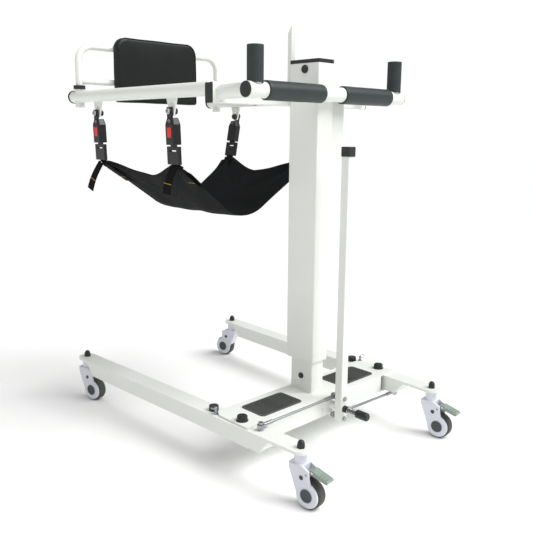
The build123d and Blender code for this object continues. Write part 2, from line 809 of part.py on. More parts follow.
with BuildPart() as wheel:
    with BuildSketch(Plane.XZ):
        with Locations(axle_point):
            Circle(wheel_d / 2)
    extrude(amount=wheel_w / 2, both=True)
    fillet(wheel.edges().filter_by(GeomType.CIRCLE), wheel_edge_r)
    with BuildSketch(Plane.XZ):
        with Locations(axle_point):
            Circle(hub_stub_d / 2)
    extrude(amount=fork_half_w + 0.4, both=True)

# foot pedal hinged between the fork cheeks, its plate reaching out past the wheel
with BuildPart() as pedal:
    with BuildSketch(Plane.XZ):
        with Locations(pedal_axle):
            Circle(pedal_barrel_r)
        with BuildLine():
            Polyline(*pedal_outline, close=True)
        make_face()
    extrude(amount=pedal_w / 2, both=True)
    with BuildSketch(Plane.XZ):
        with Locations(pedal_axle):
            Circle(pedal_pin_r)
    extrude(amount=fork_half_w - 0.2, both=True)


def castor(name, side, back, pieces):
    """Place one castor's pieces at its stem, trailing ahead and turned about the stem."""
    turn = castor_turns[name]
    x, y = leg_point(side, back)
    way = (sin(radians(turn)), -cos(radians(turn)), 0)
    place = Plane(origin=(x, y, 0), x_dir=way, z_dir=(0, 0, 1)).location
    for piece_name, piece in pieces.items():
        save(place * piece, f"{name}_{piece_name}")


hub_hole = (axle_point, hub_stub_d / 2)
pedal_hole = (pedal_axle, pedal_pin_r)
free_pieces = {"castor_fork": castor_fork([hub_hole]), "castor_wheel": wheel.part}
braked_pieces = {
    "castor_fork": castor_fork([hub_hole, pedal_hole]),
    "castor_wheel": wheel.part,
    "brake_pedal": pedal.part,
}
castor("left_front", -1, -leg_front_len, braked_pieces)
castor("right_front", 1, -leg_front_len, braked_pieces)
castor("left_rear", -1, leg_rear_len, free_pieces)
castor("right_rear", 1, leg_rear_len, free_pieces)

# ---------------------------------------------------------------- lifting carriage
# welded handle bar: cross bar, two stubs back to the beam, two upright cores
with BuildPart() as handle_bar:
    with BuildSketch(Plane.YZ.offset(-bar_half)):
        with Locations((bar_y, bar_z)):
            Circle(bar_d / 2)
    extrude(amount=2 * bar_half)
    for side in SIDES.values():
        with BuildSketch(Plane.XZ.offset(-mast_back_y)):
            with Locations((side * upright_x, bar_z)):
                Circle(stub_d / 2)
        extrude(amount=mast_back_y - bar_y)
        with BuildSketch(Plane.XY.offset(bar_z)):
            with Locations((side * upright_x, bar_y)):
                Circle(upright_core_d / 2)
        extrude(amount=upright_h - 5)
    with BuildSketch(Plane.YZ.offset(-bar_half)):
        with Locations((bar_y, bar_z)):
            Circle(bar_d / 2 - tube_wall)
    extrude(amount=2 * bar_half, mode=Mode.SUBTRACT)
save(handle_bar.part, "handle_bar")

# foam sleeves on the cross bar
with BuildPart() as handle_grips:
    for side in SIDES.values():
        with BuildSketch(Plane.YZ.offset(side * grip_in_x)):
            with Locations((bar_y, bar_z)):
                Circle(grip_d / 2)
                Circle(bar_d / 2, mode=Mode.SUBTRACT)
        extrude(amount=side * (grip_out_x - grip_in_x))
save(handle_grips.part, "handle_grips")

# foam sleeves on the upright hand posts, closed at the top
with BuildPart() as upright_grips:
    for side in SIDES.values():
        with BuildSketch(Plane.XY.offset(bar_z + bar_d / 2)):
            with Locations((side * upright_x, bar_y)):
                Circle(upright_grip_d / 2)
        extrude(amount=upright_h - bar_d / 2)
        with BuildSketch(Plane.XY.offset(bar_z)):
            with Locations((side * upright_x, bar_y)):
                Circle(upright_core_d / 2)
        extrude(amount=upright_h - 5, mode=Mode.SUBTRACT)
    fillet(upright_grips.edges().filter_by(GeomType.CIRCLE).group_by(Axis.Z)[-1], 2)
save(upright_grips.part, "upright_grips")

# rectangular cross beam behind the mast, with the flat post that stands on it
with BuildPart() as cross_beam:
    with BuildSketch(Plane.YZ.offset(-beam_half)):
        with Locations((beam_mid_y, beam_mid_z)):
            RectangleRounded(beam_d, beam_h, 3)
            RectangleRounded(beam_d - 2 * tube_wall, beam_h - 2 * tube_wall, 1, mode=Mode.SUBTRACT)
    extrude(amount=2 * beam_half)
    beam_top_z = beam_mid_z + beam_h / 2
    with BuildSketch(Plane.YZ.offset(post_x)):
        with BuildLine():
            Polyline(
                (beam_mid_y - post_d / 2, beam_top_z), (beam_mid_y - post_d / 2, post_top_z),
                (beam_mid_y + post_d / 2, post_top_z - post_slant),
                (beam_mid_y + post_d / 2, beam_top_z), close=True,
            )
        make_face()
    extrude(amount=post_w / 2, both=True)
save(cross_beam.part, "cross_beam")


def support_arm(name, side):
    """Welded arm: tube, socket sleeve for the backrest and two hanger plates below."""
    with BuildPart() as arm:
        with BuildSketch(Plane.XZ.offset(-beam_back_y)):
            with Locations((side * arm_x, arm_z)):
                Circle(arm_d / 2)
        extrude(amount=-(arm_end_y - beam_back_y))
        with BuildSketch(Plane.XZ.offset(-beam_back_y)):
            with Locations((side * arm_x, arm_z)):
                Circle(arm_d / 2 - tube_wall)
        extrude(amount=-(arm_end_y - beam_back_y), mode=Mode.SUBTRACT)
        with BuildSketch(Plane.XY.offset(socket_bottom_z)):
            with Locations((side * arm_x, rest_y)):
                Circle(rest_tube_d / 2 + socket_wall)
        extrude(amount=socket_top_z - socket_bottom_z)
        with BuildSketch(Plane.XY.offset(socket_bottom_z)):
            with Locations((side * arm_x, rest_y)):
                Circle(rest_tube_d / 2 + run_fit)
        extrude(amount=socket_top_z - socket_bottom_z, mode=Mode.SUBTRACT)
        plate_root_z = arm_z - sqrt((arm_d / 2) ** 2 - hanger_t**2 / 4)
        for hanger_y in hanger_ys.values():
            with BuildSketch(Plane.YZ.offset(side * arm_x)):
                with BuildLine():
                    Polyline(
                        (hanger_y - hanger_top_w / 2, plate_root_z),
                        (hanger_y + hanger_top_w / 2, plate_root_z),
                        (hanger_y + hanger_low_w / 2, hanger_low_z),
                        (hanger_y - hanger_low_w / 2, hanger_low_z),
                        close=True,
                    )
                make_face()
                with Locations((hanger_y, hanger_bolt_z), (hanger_y, spare_hole_z)):
                    Circle(hanger_bolt_d / 2, mode=Mode.SUBTRACT)
            extrude(amount=hanger_t / 2, both=True)
    save(arm.part, name)


for word, side in SIDES.items():
    support_arm(f"{word}_support_arm", side)

# black plastic: plugs in every open tube end, the mast top cover and the socket collars
plug_len = 12
with BuildPart() as end_caps:
    for side in SIDES.values():
        with BuildSketch(Plane.YZ.offset(side * bar_half)):
            with Locations((bar_y, bar_z)):
                Circle(bar_d / 2 - 1)
        extrude(amount=side * end_cap_t)
        with BuildSketch(Plane.YZ.offset(side * bar_half)):
            with Locations((bar_y, bar_z)):
                Circle(bar_d / 2 - tube_wall)
        extrude(amount=-side * plug_len)
        with BuildSketch(Plane.YZ.offset(side * beam_half)):
            with Locations((beam_mid_y, beam_mid_z)):
                RectangleRounded(beam_d, beam_h, 3)
        extrude(amount=side * end_cap_t)
        with BuildSketch(Plane.YZ.offset(side * beam_half)):
            with Locations((beam_mid_y, beam_mid_z)):
                RectangleRounded(beam_d - 2 * tube_wall, beam_h - 2 * tube_wall, 1)
        extrude(amount=-side * plug_len)
        with BuildSketch(Plane.XZ.offset(-arm_end_y)):
            with Locations((side * arm_x, arm_z)):
                Circle(arm_d / 2 + arm_cap_lip)
        extrude(amount=-arm_cap_t)
        with BuildSketch(Plane.XZ.offset(-arm_end_y)):
            with Locations((side * arm_x, arm_z)):
                Circle(arm_d / 2 - tube_wall)
        extrude(amount=plug_len)
        with BuildSketch(Plane.XY.offset(socket_top_z)):
            with Locations((side * arm_x, rest_y)):
                Circle(collar_d / 2)
                Circle(rest_tube_d / 2 + 2 * run_fit, mode=Mode.SUBTRACT)
        extrude(amount=collar_h)
    with BuildSketch(Plane.XY.offset(outer_top_z)):
        with Locations((0, mast_mid_y)):
            RectangleRounded(outer_w + 1, outer_d + 1, 4.5)
    extrude(amount=cap_t)
save(end_caps.part, "end_caps")

# control and battery box on the right side of the mast, with a cable gland below
with BuildPart() as control_box:
    with BuildSketch(Plane.XY.offset(box_top_z - box_h)):
        with Locations((outer_w / 2, pivot_y + box_back)):
            RectangleRounded(box_w, box_d, box_corner_r, align=(Align.MIN, Align.MIN))
    extrude(amount=box_h)
    with BuildSketch(Plane.XY.offset(box_top_z - box_h)):
        with Locations((outer_w / 2 + gland_in[0], pivot_y + box_back + gland_in[1])):
            Circle(gland_r)
    extrude(amount=-gland_len)
save(control_box.part, "control_box")

# ---------------------------------------------------------------- backrest
with BuildPart() as backrest_frame:
    with BuildLine(Plane.XZ.offset(-rest_y)) as hoop:
        FilletPolyline(
            (-arm_x, socket_bottom_z + 2), (-arm_x, rest_top_z), (arm_x, rest_top_z),
            (arm_x, socket_bottom_z + 2), radius=rest_bend_r,
        )
    with BuildSketch(Plane(origin=(-arm_x, rest_y, socket_bottom_z + 2), z_dir=(0, 0, 1))):
        Circle(rest_tube_d / 2)
    sweep(path=hoop.wires()[0])
    with BuildSketch(Plane.YZ):
        with Locations((rest_y, rest_low_z)):
            Circle(rest_tube_d / 2 - 1)
    extrude(amount=arm_x, both=True)
save(backrest_frame.part, "backrest_frame")

with BuildPart() as backrest_pad:
    with BuildSketch(Plane.XZ.offset(rest_tube_d / 2 - rest_y)):
        with Locations((0, (rest_pad_top_z + rest_pad_bottom_z) / 2)):
            Rectangle(rest_pad_w, rest_pad_top_z - rest_pad_bottom_z)
    extrude(amount=rest_pad_t)
    uprights = backrest_pad.edges().filter_by(Axis.Y).group_by(Axis.Z)
    fillet(uprights[-1], rest_pad_corner_r)
    fillet(backrest_pad.edges().filter_by(Axis.Y).group_by(Axis.Z)[0], 8)
save(backrest_pad.part, "backrest_pad")


# ---------------------------------------------------------------- buckles and sling
def strap_plane(side, hanger_y, along):
    """A plane across a strap: Z runs down along the strap, X along the lift, Y outwards."""
    tilt = radians(buckle_tilts[side])
    down = Vector(-side * sin(tilt), 0, -cos(tilt))
    root = Vector(side * arm_x, hanger_y, hanger_bolt_z)
    return Plane(origin=root + down * along, x_dir=(0, side, 0), z_dir=down)


corners = [
    (f"{word}_{end}", side, hanger_y)
    for word, side in SIDES.items()
    for end, hanger_y in hanger_ys.items()
]
pocket_floor = buckle_t / 2 + 0.5 - button_t - button_travel - 0.5
button_mid = button_top + button_len / 2

with BuildPart() as buckles:
    for _, side, hanger_y in corners:
        with BuildSketch(strap_plane(side, hanger_y, -hanger_bolt_d * 1.4)):
            with Locations((0, lug_out + lug_t / 2)):
                RectangleRounded(lug_w, lug_t, 1.5)
        extrude(amount=buckle_top + hanger_bolt_d * 1.4 + 4)
        with BuildSketch(strap_plane(side, hanger_y, buckle_top)):
            RectangleRounded(buckle_w * 0.62, buckle_t * 0.85, 5)
        with BuildSketch(strap_plane(side, hanger_y, buckle_top + 18)):
            RectangleRounded(buckle_w, buckle_t, 5)
        loft()
        with BuildSketch(strap_plane(side, hanger_y, buckle_top + 18)):
            RectangleRounded(buckle_w, buckle_t, 5)
        extrude(amount=buckle_len - 18)
        # slot for the tongue, pocket for the button, hole for the bolt
        with BuildSketch(strap_plane(side, hanger_y, buckle_top + buckle_len)):
            Rectangle(tongue_w + 2 * button_gap, tongue_t + 2 * button_gap)
        extrude(amount=-tongue_in - 1, mode=Mode.SUBTRACT)
        lug_face = strap_plane(side, hanger_y, 0)
        across = Plane(origin=lug_face.origin, x_dir=lug_face.x_dir, z_dir=lug_face.y_dir)
        with BuildSketch(across.offset(pocket_floor)):
            with Locations((0, -button_mid)):
                RectangleRounded(button_w + 2 * button_gap, button_len + 2 * button_gap, 3)
        extrude(amount=buckle_t, mode=Mode.SUBTRACT)
        with BuildSketch(across.offset(lug_out - 1)):
            with Locations((0, (lug_out + lug_t / 2) * tan(radians(buckle_tilts[side])))):
                Circle(hanger_bolt_d / 2 + 1)
        extrude(amount=lug_t + 2, mode=Mode.SUBTRACT)
save(buckles.part, "buckles")


def release_button(name, side, hanger_y):
    """Red release button in the outer face of one buckle."""
    lug_face = strap_plane(side, hanger_y, 0)
    across = Plane(origin=lug_face.origin, x_dir=lug_face.x_dir, z_dir=lug_face.y_dir)
    with BuildPart() as button:
        with BuildSketch(across.offset(buckle_t / 2 + 0.5 - button_t)):
            with Locations((0, -button_mid)):
                RectangleRounded(button_w, button_len, 2.7)
        extrude(amount=button_t)
    save(button.part, name)


for corner, side, hanger_y in corners:
    release_button(f"{corner}_release_button", side, hanger_y)

# steel-cored tongues with the moulded strap adapters that carry the sling
with BuildPart() as strap_tongues:
    for _, side, hanger_y in corners:
        with BuildSketch(strap_plane(side, hanger_y, buckle_top + buckle_len - tongue_in)):
            Rectangle(tongue_w, tongue_t)
        extrude(amount=tongue_in + adapter_gap)
        with BuildSketch(strap_plane(side, hanger_y, buckle_top + buckle_len + adapter_gap)):
            RectangleRounded(adapter_w, adapter_t, 3)
        extrude(amount=adapter_len)
        adapter_face = strap_plane(side, hanger_y, buckle_top + buckle_len + adapter_gap + 12)
        slot_plane = Plane(
            origin=adapter_face.origin, x_dir=adapter_face.x_dir, z_dir=adapter_face.y_dir
        )
        with BuildSketch(slot_plane):
            Rectangle(adapter_w * 0.55, 4)
        extrude(amount=adapter_t, both=True, mode=Mode.SUBTRACT)
save(strap_tongues.part, "strap_tongues")

# hanger bolts: bright head outside, black nut inside
with BuildPart() as hanger_bolts:
    for _, side, hanger_y in corners:
        face = Plane(origin=(side * arm_x, hanger_y, hanger_bolt_z), z_dir=(side, 0, 0))
        outer_run = lug_out + lug_t + 2
        inner_run = hanger_t / 2
        with BuildSketch(face.offset(-inner_run)):
            Circle(hanger_bolt_d / 2)
        extrude(amount=inner_run + outer_run)
        with BuildSketch(face.offset(outer_run)):
            Circle(hanger_bolt_d * 0.85)
        extrude(amount=4)
        with BuildSketch(face.offset(-inner_run)):
            Circle(hanger_bolt_d)
        extrude(amount=-11)
save(hanger_bolts.part, "hanger_bolts")

# seat sling, as a hanging sheet: a trough between the arms with scooped side edges
sling_front_y = hanger_ys["front"] - sling_margin
sling_back_y = hanger_ys["rear"] + sling_margin
sling_mid_y = (sling_front_y + sling_back_y) / 2
scoop_half = (sling_back_y - sling_front_y) / 2
scoop_r = (scoop_half**2 + sling_edge_sag**2) / (2 * sling_edge_sag)
flank_drop = sling_corner_z - sling_apex_z
flank_rise = sling_t * (sling_half_w**2 + flank_drop**2) ** 0.5 / sling_half_w
with BuildPart() as sling:
    for rise, fold_r, mode in (
        (0, sling_fold_r, Mode.ADD), (flank_rise, sling_fold_r - sling_t, Mode.SUBTRACT),
    ):
        with BuildSketch(Plane.XZ.offset(-sling_back_y)) as section:
            with BuildLine():
                Polyline(
                    (sling_mid_x - sling_half_w, sling_corner_z + rise),
                    (sling_mid_x, sling_apex_z + rise),
                    (sling_mid_x + sling_half_w, sling_corner_z + rise), close=True,
                )
            make_face()
            fillet(section.vertices().sort_by(Axis.Y)[0], fold_r)
        extrude(amount=sling_back_y - sling_front_y, mode=mode)
    with BuildSketch(Plane.YZ):
        with Locations((sling_mid_y, sling_corner_z - sling_edge_sag + scoop_r)):
            Circle(scoop_r)
    extrude(amount=2 * sling_half_w, both=True, mode=Mode.SUBTRACT)
save(sling.part, "seat_sling")
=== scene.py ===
"""Sit to stand lift: the looks of every visible piece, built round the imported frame.

Metres, +Z up, +Y towards the person being lifted, -Y towards the carer, "left" is -X.
"""
import json
import math
from types import SimpleNamespace
import bmesh
import bpy
import numpy as np
from bpy.props import FloatProperty, FloatVectorProperty, IntProperty, PointerProperty
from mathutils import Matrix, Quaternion, Vector

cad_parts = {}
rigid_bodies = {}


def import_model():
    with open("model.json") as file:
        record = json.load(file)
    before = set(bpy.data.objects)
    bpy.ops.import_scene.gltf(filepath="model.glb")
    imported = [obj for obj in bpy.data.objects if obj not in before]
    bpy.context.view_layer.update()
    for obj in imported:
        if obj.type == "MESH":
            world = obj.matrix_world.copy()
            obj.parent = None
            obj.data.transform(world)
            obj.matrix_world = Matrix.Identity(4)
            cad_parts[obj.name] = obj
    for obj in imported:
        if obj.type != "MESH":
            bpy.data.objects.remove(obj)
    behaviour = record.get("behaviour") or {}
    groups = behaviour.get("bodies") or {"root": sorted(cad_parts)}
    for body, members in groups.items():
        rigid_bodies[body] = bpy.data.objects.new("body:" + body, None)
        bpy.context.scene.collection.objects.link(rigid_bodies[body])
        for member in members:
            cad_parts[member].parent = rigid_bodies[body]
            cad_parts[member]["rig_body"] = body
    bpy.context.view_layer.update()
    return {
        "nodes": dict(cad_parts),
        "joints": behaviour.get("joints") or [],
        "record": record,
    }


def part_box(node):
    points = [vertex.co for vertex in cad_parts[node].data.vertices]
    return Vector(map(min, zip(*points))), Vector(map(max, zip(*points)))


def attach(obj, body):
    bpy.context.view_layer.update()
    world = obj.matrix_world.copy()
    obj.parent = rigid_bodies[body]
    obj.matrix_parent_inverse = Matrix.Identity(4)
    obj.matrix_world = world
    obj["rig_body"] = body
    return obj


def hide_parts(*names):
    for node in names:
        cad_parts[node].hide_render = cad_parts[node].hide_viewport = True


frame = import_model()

bl_info = {
    "name": "Sit to stand lift",
    "version": (1, 0, 0),
    "blender": (4, 5, 0),
    "location": "View3D > Sidebar > Lift",
    "description": "Builds the visible pieces of a sit to stand lift around its frame",
    "category": "Add Mesh",
}

SIDES = {"left": -1, "right": 1}
CASTORS = ("left_front", "right_front", "left_rear", "right_rear")
CORNERS = ("left_front", "left_rear", "right_front", "right_rear")
JOINTS = {j["name"]: j for j in frame["joints"]}
MM = 0.001

STRAP_LEAN = {"left": 2, "right": 11}  # degrees inwards from straight down
# places on the frame, from the middle plane, along the lift and up
HANGER_X, HANGER_Z = 291 * MM, 968 * MM
BAR_Y, BAR_Z, BAR_R = -303.08 * MM, 1014 * MM, 20 * MM
STUB_X, TUBE_R = 282 * MM, 19 * MM
ARM_X, ARM_Y, ARM_Z = 291 * MM, -148.08 * MM, 1022 * MM
BEAM_FOOT_Z = 985 * MM
MAT_HALF_W, MAT_CORNER_R = 79.5 * MM, 12 * MM


# ------------------------------------------------------------------ colours and materials
def linear(code):
    """An sRGB hex colour as linear red, green and blue."""
    parts = [int(code[i : i + 2], 16) / 255 for i in (1, 3, 5)]
    return tuple(c / 12.92 if c <= 0.04045 else ((c + 0.055) / 1.055) ** 2.4 for c in parts)


def add(tree, kind, settings=(), links=()):
    """Add one node: settings are its own attributes or its inputs' values, and links are its
    inputs' sources."""
    made = tree.nodes.new(kind)
    for name, value in dict(settings).items():
        if isinstance(name, str) and hasattr(made, name):
            setattr(made, name, value)
        else:
            made.inputs[name].default_value = value
    for name, source in dict(links).items():
        tree.links.new(source, made.inputs[name])
    return made


def start(name, roughness, metallic=0.0, **inputs):
    """A new material: its tree, its shader and its Object coordinates."""
    made = bpy.data.materials.new(name)
    made.use_nodes = True
    tree = made.node_tree
    tree.nodes.clear()
    shader = add(tree, "ShaderNodeBsdfPrincipled",
                 {"Roughness": roughness, "Metallic": metallic, **inputs})
    add(tree, "ShaderNodeOutputMaterial", links={"Surface": shader.outputs[0]})
    where = add(tree, "ShaderNodeTexCoord").outputs["Object"]
    return made, tree, shader, where


def shade(tree, shader, mask, colours, rough=None):
    """Colour the shader between two colours by a mask, and its roughness between two numbers."""
    two = {"data_type": "RGBA", 6: (*colours[0], 1), 7: (*colours[1], 1)}
    mix = add(tree, "ShaderNodeMix", two, {0: mask})
    tree.links.new(mix.outputs[2], shader.inputs["Base Color"])
    if rough:
        spread = add(tree, "ShaderNodeMapRange", {"To Min": rough[0], "To Max": rough[1]},
                     {"Value": mask})
        tree.links.new(spread.outputs[0], shader.inputs["Roughness"])


def emboss(tree, shader, height, depth, strength=1.0):
    """Bump the shader by a height from 0 to 1 that stands for depth metres."""
    bump = add(tree, "ShaderNodeBump", {"Strength": strength, "Distance": depth},
               {"Height": height})
    tree.links.new(bump.outputs[0], shader.inputs["Normal"])


def per_metre(size_mm):
    """How many features of a size in millimetres fit in a metre."""
    return 1 / (size_mm * MM)


def powder_coat(colours):
    """Polyester powder coat, sprayed and baked: a soft sheen with a faint orange peel."""
    made, tree, shader, where = start("polyester_powder_coat", 0.34, IOR=1.5)
    # the coat pools a little warmer and cooler over a hand's width
    clouds = add(tree, "ShaderNodeTexNoise", {"Scale": per_metre(180), "Detail": 3.0},
                 {"Vector": where})
    shade(tree, shader, clouds.outputs[0], (colours.coat, colours.coat_shade), (0.28, 0.42))
    # orange peel is about 2 mm across and a few hundredths deep; drawn at 2.5 mm so that it shows
    peel = add(tree, "ShaderNodeTexNoise", {"Scale": per_metre(2.5), "Detail": 1.5},
               {"Vector": where})
    emboss(tree, shader, peel.outputs[0], 0.05 * MM, 0.5)
    return made


def moulded(name, colour, roughness, grain_mm, depth_mm, lift=1.35, **inputs):
    """Injection moulded plastic: even colour, spark-eroded grain of a real size, light scuffs."""
    made, tree, shader, where = start(name, roughness, IOR=1.49, **inputs)
    scuff = add(tree, "ShaderNodeTexNoise", {"Scale": per_metre(14), "Detail": 6.0},
                {"Vector": where})
    lighter = tuple(min(1.0, c * lift) for c in colour)
    shade(tree, shader, scuff.outputs[0], (colour, lighter), (roughness * 0.82, roughness * 1.18))
    size = {"Scale": per_metre(grain_mm), "Detail": 2.0}
    grain = add(tree, "ShaderNodeTexNoise", size, {"Vector": where})
    emboss(tree, shader, grain.outputs[0], depth_mm * MM, 0.6)
    return made


def foam(colours):
    """Closed-cell nitrile foam sleeve: a dull skin broken by cells about a millimetre wide."""
    made, tree, shader, where = start("nitrile_foam", 0.46, IOR=1.45,
                                      **{"Specular IOR Level": 0.45})
    cells = add(tree, "ShaderNodeTexVoronoi", {"Scale": per_metre(1.1)}, {"Vector": where})
    clouds = add(tree, "ShaderNodeTexNoise", {"Scale": per_metre(30), "Detail": 4.0},
                 {"Vector": where})
    darker = tuple(c * 0.72 for c in colours.foam)
    shade(tree, shader, clouds.outputs[0], (darker, colours.foam), (0.38, 0.52))
    emboss(tree, shader, cells.outputs["Distance"], 0.12 * MM, 0.5)
    return made


def plated(name, colour, roughness):
    """Zinc or chrome plated steel: bright metal with fine turning marks and faint stains."""
    made, tree, shader, where = start(name, roughness, 1.0)
    stains = add(tree, "ShaderNodeTexNoise", {"Scale": per_metre(9), "Detail": 5.0},
                 {"Vector": where})
    duller = tuple(c * 0.8 for c in colour)
    shade(tree, shader, stains.outputs[0], (colour, duller), (roughness * 0.7, roughness * 1.5))
    marks = add(tree, "ShaderNodeTexNoise", {"Scale": per_metre(0.7), "Detail": 1.0},
                {"Vector": where})
    emboss(tree, shader, marks.outputs[0], 0.01 * MM, 0.4)
    return made


def upholstery(colours):
    """PVC vinyl on foam: calendered leather grain, cells near 1.6 mm, gloss on the high spots."""
    made, tree, shader, where = start("upholstery_vinyl", 0.42, IOR=1.53,
                                      **{"Specular IOR Level": 0.3})
    cells = {"Scale": per_metre(1.6), "feature": "DISTANCE_TO_EDGE"}
    grain = add(tree, "ShaderNodeTexVoronoi", cells, {"Vector": where})
    clouds = add(tree, "ShaderNodeTexNoise", {"Scale": per_metre(70), "Detail": 4.0},
                 {"Vector": where})
    lighter = tuple(c * 1.4 for c in colours.vinyl)
    shade(tree, shader, clouds.outputs[0], (colours.vinyl, lighter), (0.36, 0.52))
    limits = {"From Max": 0.12}
    flat = add(tree, "ShaderNodeMapRange", limits, {"Value": grain.outputs["Distance"]})
    emboss(tree, shader, flat.outputs[0], 0.09 * MM, 0.45)
    return made


def woven(name, colour, thread_mm, lighter_by, rib=False):
    """Woven polyester: over and under threads at a real pitch along the cloth's UV, in metres."""
    made, tree, shader, _ = start(name, 0.86, IOR=1.46, **{"Specular IOR Level": 0.18})
    along = add(tree, "ShaderNodeUVMap", {"uv_map": "cloth"}).outputs[0]
    # two sets of ridges, one along each thread direction; webbing has only its cross ribs
    ridges = []
    for axis in ("Y",) if rib else ("X", "Y"):
        lines = {"bands_direction": axis, "Scale": per_metre(thread_mm) / 20 * math.pi,
                 "Distortion": 0.4}
        wave = add(tree, "ShaderNodeTexWave", {**lines, "Detail": 1.0}, {"Vector": along})
        ridges.append(wave.outputs["Fac"])
    height = ridges[0]
    if not rib:
        height = add(tree, "ShaderNodeMath", {"operation": "MULTIPLY"},
                     {0: ridges[0], 1: ridges[1]}).outputs[0]
    # the raised crowns of the threads are painted lighter in patches: partly wear, partly a painted
    # highlight where the crowns would catch the light
    wear_and_sheen_patches = add(tree, "ShaderNodeTexNoise", {"Scale": per_metre(45), "Detail": 5.0},
               {"Vector": along})
    mask = add(tree, "ShaderNodeMath", {"operation": "MULTIPLY"},
               {0: wear_and_sheen_patches.outputs[0], 1: height}).outputs[0]
    # lighter_by sets how much lighter the crowns are painted: wear and painted highlight together
    lighter = tuple(min(1.0, c * lighter_by) for c in colour)
    shade(tree, shader, mask, (colour, lighter))
    emboss(tree, shader, height, 0.35 * MM, 0.7)
    return made


# ------------------------------------------------------------------ shapes
def grid_faces(rows, columns, wrap_rows=False, wrap_columns=False):
    """Quads between neighbouring points of a rows by columns grid, closed round where asked."""
    r = np.arange(rows if wrap_rows else rows - 1)
    c = np.arange(columns if wrap_columns else columns - 1)
    r, c = [a.ravel() for a in np.meshgrid(r, c, indexing="ij")]
    r2, c2 = (r + 1) % rows, (c + 1) % columns
    return np.stack([r * columns + c, r * columns + c2, r2 * columns + c2, r2 * columns + c], 1)


def make_piece(name, points, faces, body, material, closed=True, uv=None, smooth=60):
    """Put points and faces into a mesh that rides on a body; a closed shell gets outward faces."""
    mesh = bpy.data.meshes.new(name)
    mesh.from_pydata(np.asarray(points, float).reshape(-1, 3).tolist(), [],
                     np.asarray(faces).tolist())
    if uv is not None:
        layer = mesh.uv_layers.new(name="cloth")
        corner = np.empty(len(mesh.loops), np.int32)
        mesh.loops.foreach_get("vertex_index", corner)
        layer.data.foreach_set("uv", np.asarray(uv, np.float32).reshape(-1, 2)[corner].ravel())
    if closed:
        work = bmesh.new()
        work.from_mesh(mesh)
        bmesh.ops.remove_doubles(work, verts=work.verts, dist=0.002 * MM)
        bmesh.ops.recalc_face_normals(work, faces=work.faces)
        work.to_mesh(mesh)
        work.free()
    mesh.validate()
    mesh.shade_smooth()
    if smooth < 180:
        mesh.set_sharp_from_angle(angle=math.radians(smooth))
    piece = bpy.data.objects.new(name, mesh)
    bpy.context.scene.collection.objects.link(piece)
    piece.data.materials.append(material)
    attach(piece, body)
    return piece


def across(axis):
    """Two unit directions square to an axis and to each other."""
    axis = np.asarray(axis, float)
    helper = np.array([0.0, 0.0, 1.0]) if abs(axis[2]) < 0.9 else np.array([1.0, 0.0, 0.0])
    first = np.cross(helper, axis)
    first /= np.linalg.norm(first)
    return first, np.cross(axis, first)


def turned(profile, centre, axis, sides=64, shape=None):
    """Profile points (radius, distance along the axis) turned full circle about the axis through
    centre; shape(angle, row) may scale the radius round the turn. Returns points and faces."""
    profile = np.asarray(profile, float)
    axis = np.asarray(axis, float) / np.linalg.norm(axis)
    first, second = across(axis)
    angle = np.arange(sides) * 2 * np.pi / sides
    ring = np.cos(angle)[:, None] * first + np.sin(angle)[:, None] * second
    radius = np.repeat(profile[:, :1], sides, 1)
    if shape is not None:
        radius = radius * shape(angle[None, :], np.arange(len(profile))[:, None])
    points = np.asarray(centre) + radius[:, :, None] * ring + profile[:, 1][:, None, None] * axis
    return points, grid_faces(len(profile), sides, wrap_columns=True)


def rounded(radius, low, high, edge, steps=6):
    """Profile of a closed pill or disc: full radius between low and high with rounded rims."""
    turn = np.linspace(0, np.pi / 2, steps)
    foot = np.stack([radius - edge + edge * np.sin(turn), low + edge - edge * np.cos(turn)], 1)
    top = np.stack([radius - edge + edge * np.cos(turn), high - edge + edge * np.sin(turn)], 1)
    return np.concatenate([[[0, low]], foot, top, [[0, high]]])


def swept(path, radii, closed=True, sides=10):
    """A round section carried along a path: at each point the section lies square to the path, in
    the plane of the path's normal and binormal, scaled by radii. Returns points and faces."""
    path = np.asarray(path, float)
    if closed:
        tangent = np.roll(path, -1, 0) - np.roll(path, 1, 0)
    else:
        tangent = np.gradient(path, axis=0)
    tangent /= np.linalg.norm(tangent, axis=1)[:, None]
    middle = path.mean(0)
    outward = path - middle
    outward -= (outward * tangent).sum(1)[:, None] * tangent
    short = np.linalg.norm(outward, axis=1) < 1e-6
    outward[short] = across(tangent[0])[0]
    outward /= np.linalg.norm(outward, axis=1)[:, None]
    side = np.cross(tangent, outward)
    angle = np.arange(sides) * 2 * np.pi / sides
    across_path = np.cos(angle)[None, :, None] * outward[:, None]
    section = across_path + np.sin(angle)[None, :, None] * side[:, None]
    points = path[:, None] + np.broadcast_to(radii, len(path))[:, None, None] * section
    return points, grid_faces(len(path), sides, wrap_rows=closed, wrap_columns=True)


def outline(half_w, half_h, r_top, r_low, count):
    """Points evenly spaced round a rectangle with rounded corners, from the right, turning up."""
    corner = np.linspace(0, np.pi / 2, 16)
    parts = []
    for i, (x, z, r) in enumerate(((1, 1, r_top), (-1, 1, r_top), (-1, -1, r_low), (1, -1, r_low))):
        turn = corner + i * np.pi / 2
        parts.append(np.stack([x * (half_w - r) + r * np.cos(turn),
                               z * (half_h - r) + r * np.sin(turn)], 1))
    loop = np.concatenate(parts + [parts[0][:1]])
    run = np.concatenate([[0], np.cumsum(np.linalg.norm(np.diff(loop, axis=0), axis=1))])
    at = np.arange(count) / count * run[-1]
    return np.stack([np.interp(at, run, loop[:, 0]), np.interp(at, run, loop[:, 1])], 1)


def joined(*shapes):
    """Several (points, faces) as one."""
    points, faces, base = [], [], 0
    for some, quads in shapes:
        some = np.asarray(some).reshape(-1, 3)
        points.append(some)
        faces.append(np.asarray(quads) + base)
        base += len(some)
    return np.concatenate(points), np.concatenate(faces)


def block(half_u, half_v, edge):
    """Section of a flat band with rounded edges, as points (across, through)."""
    return outline(half_u, half_v, edge, edge, 24)


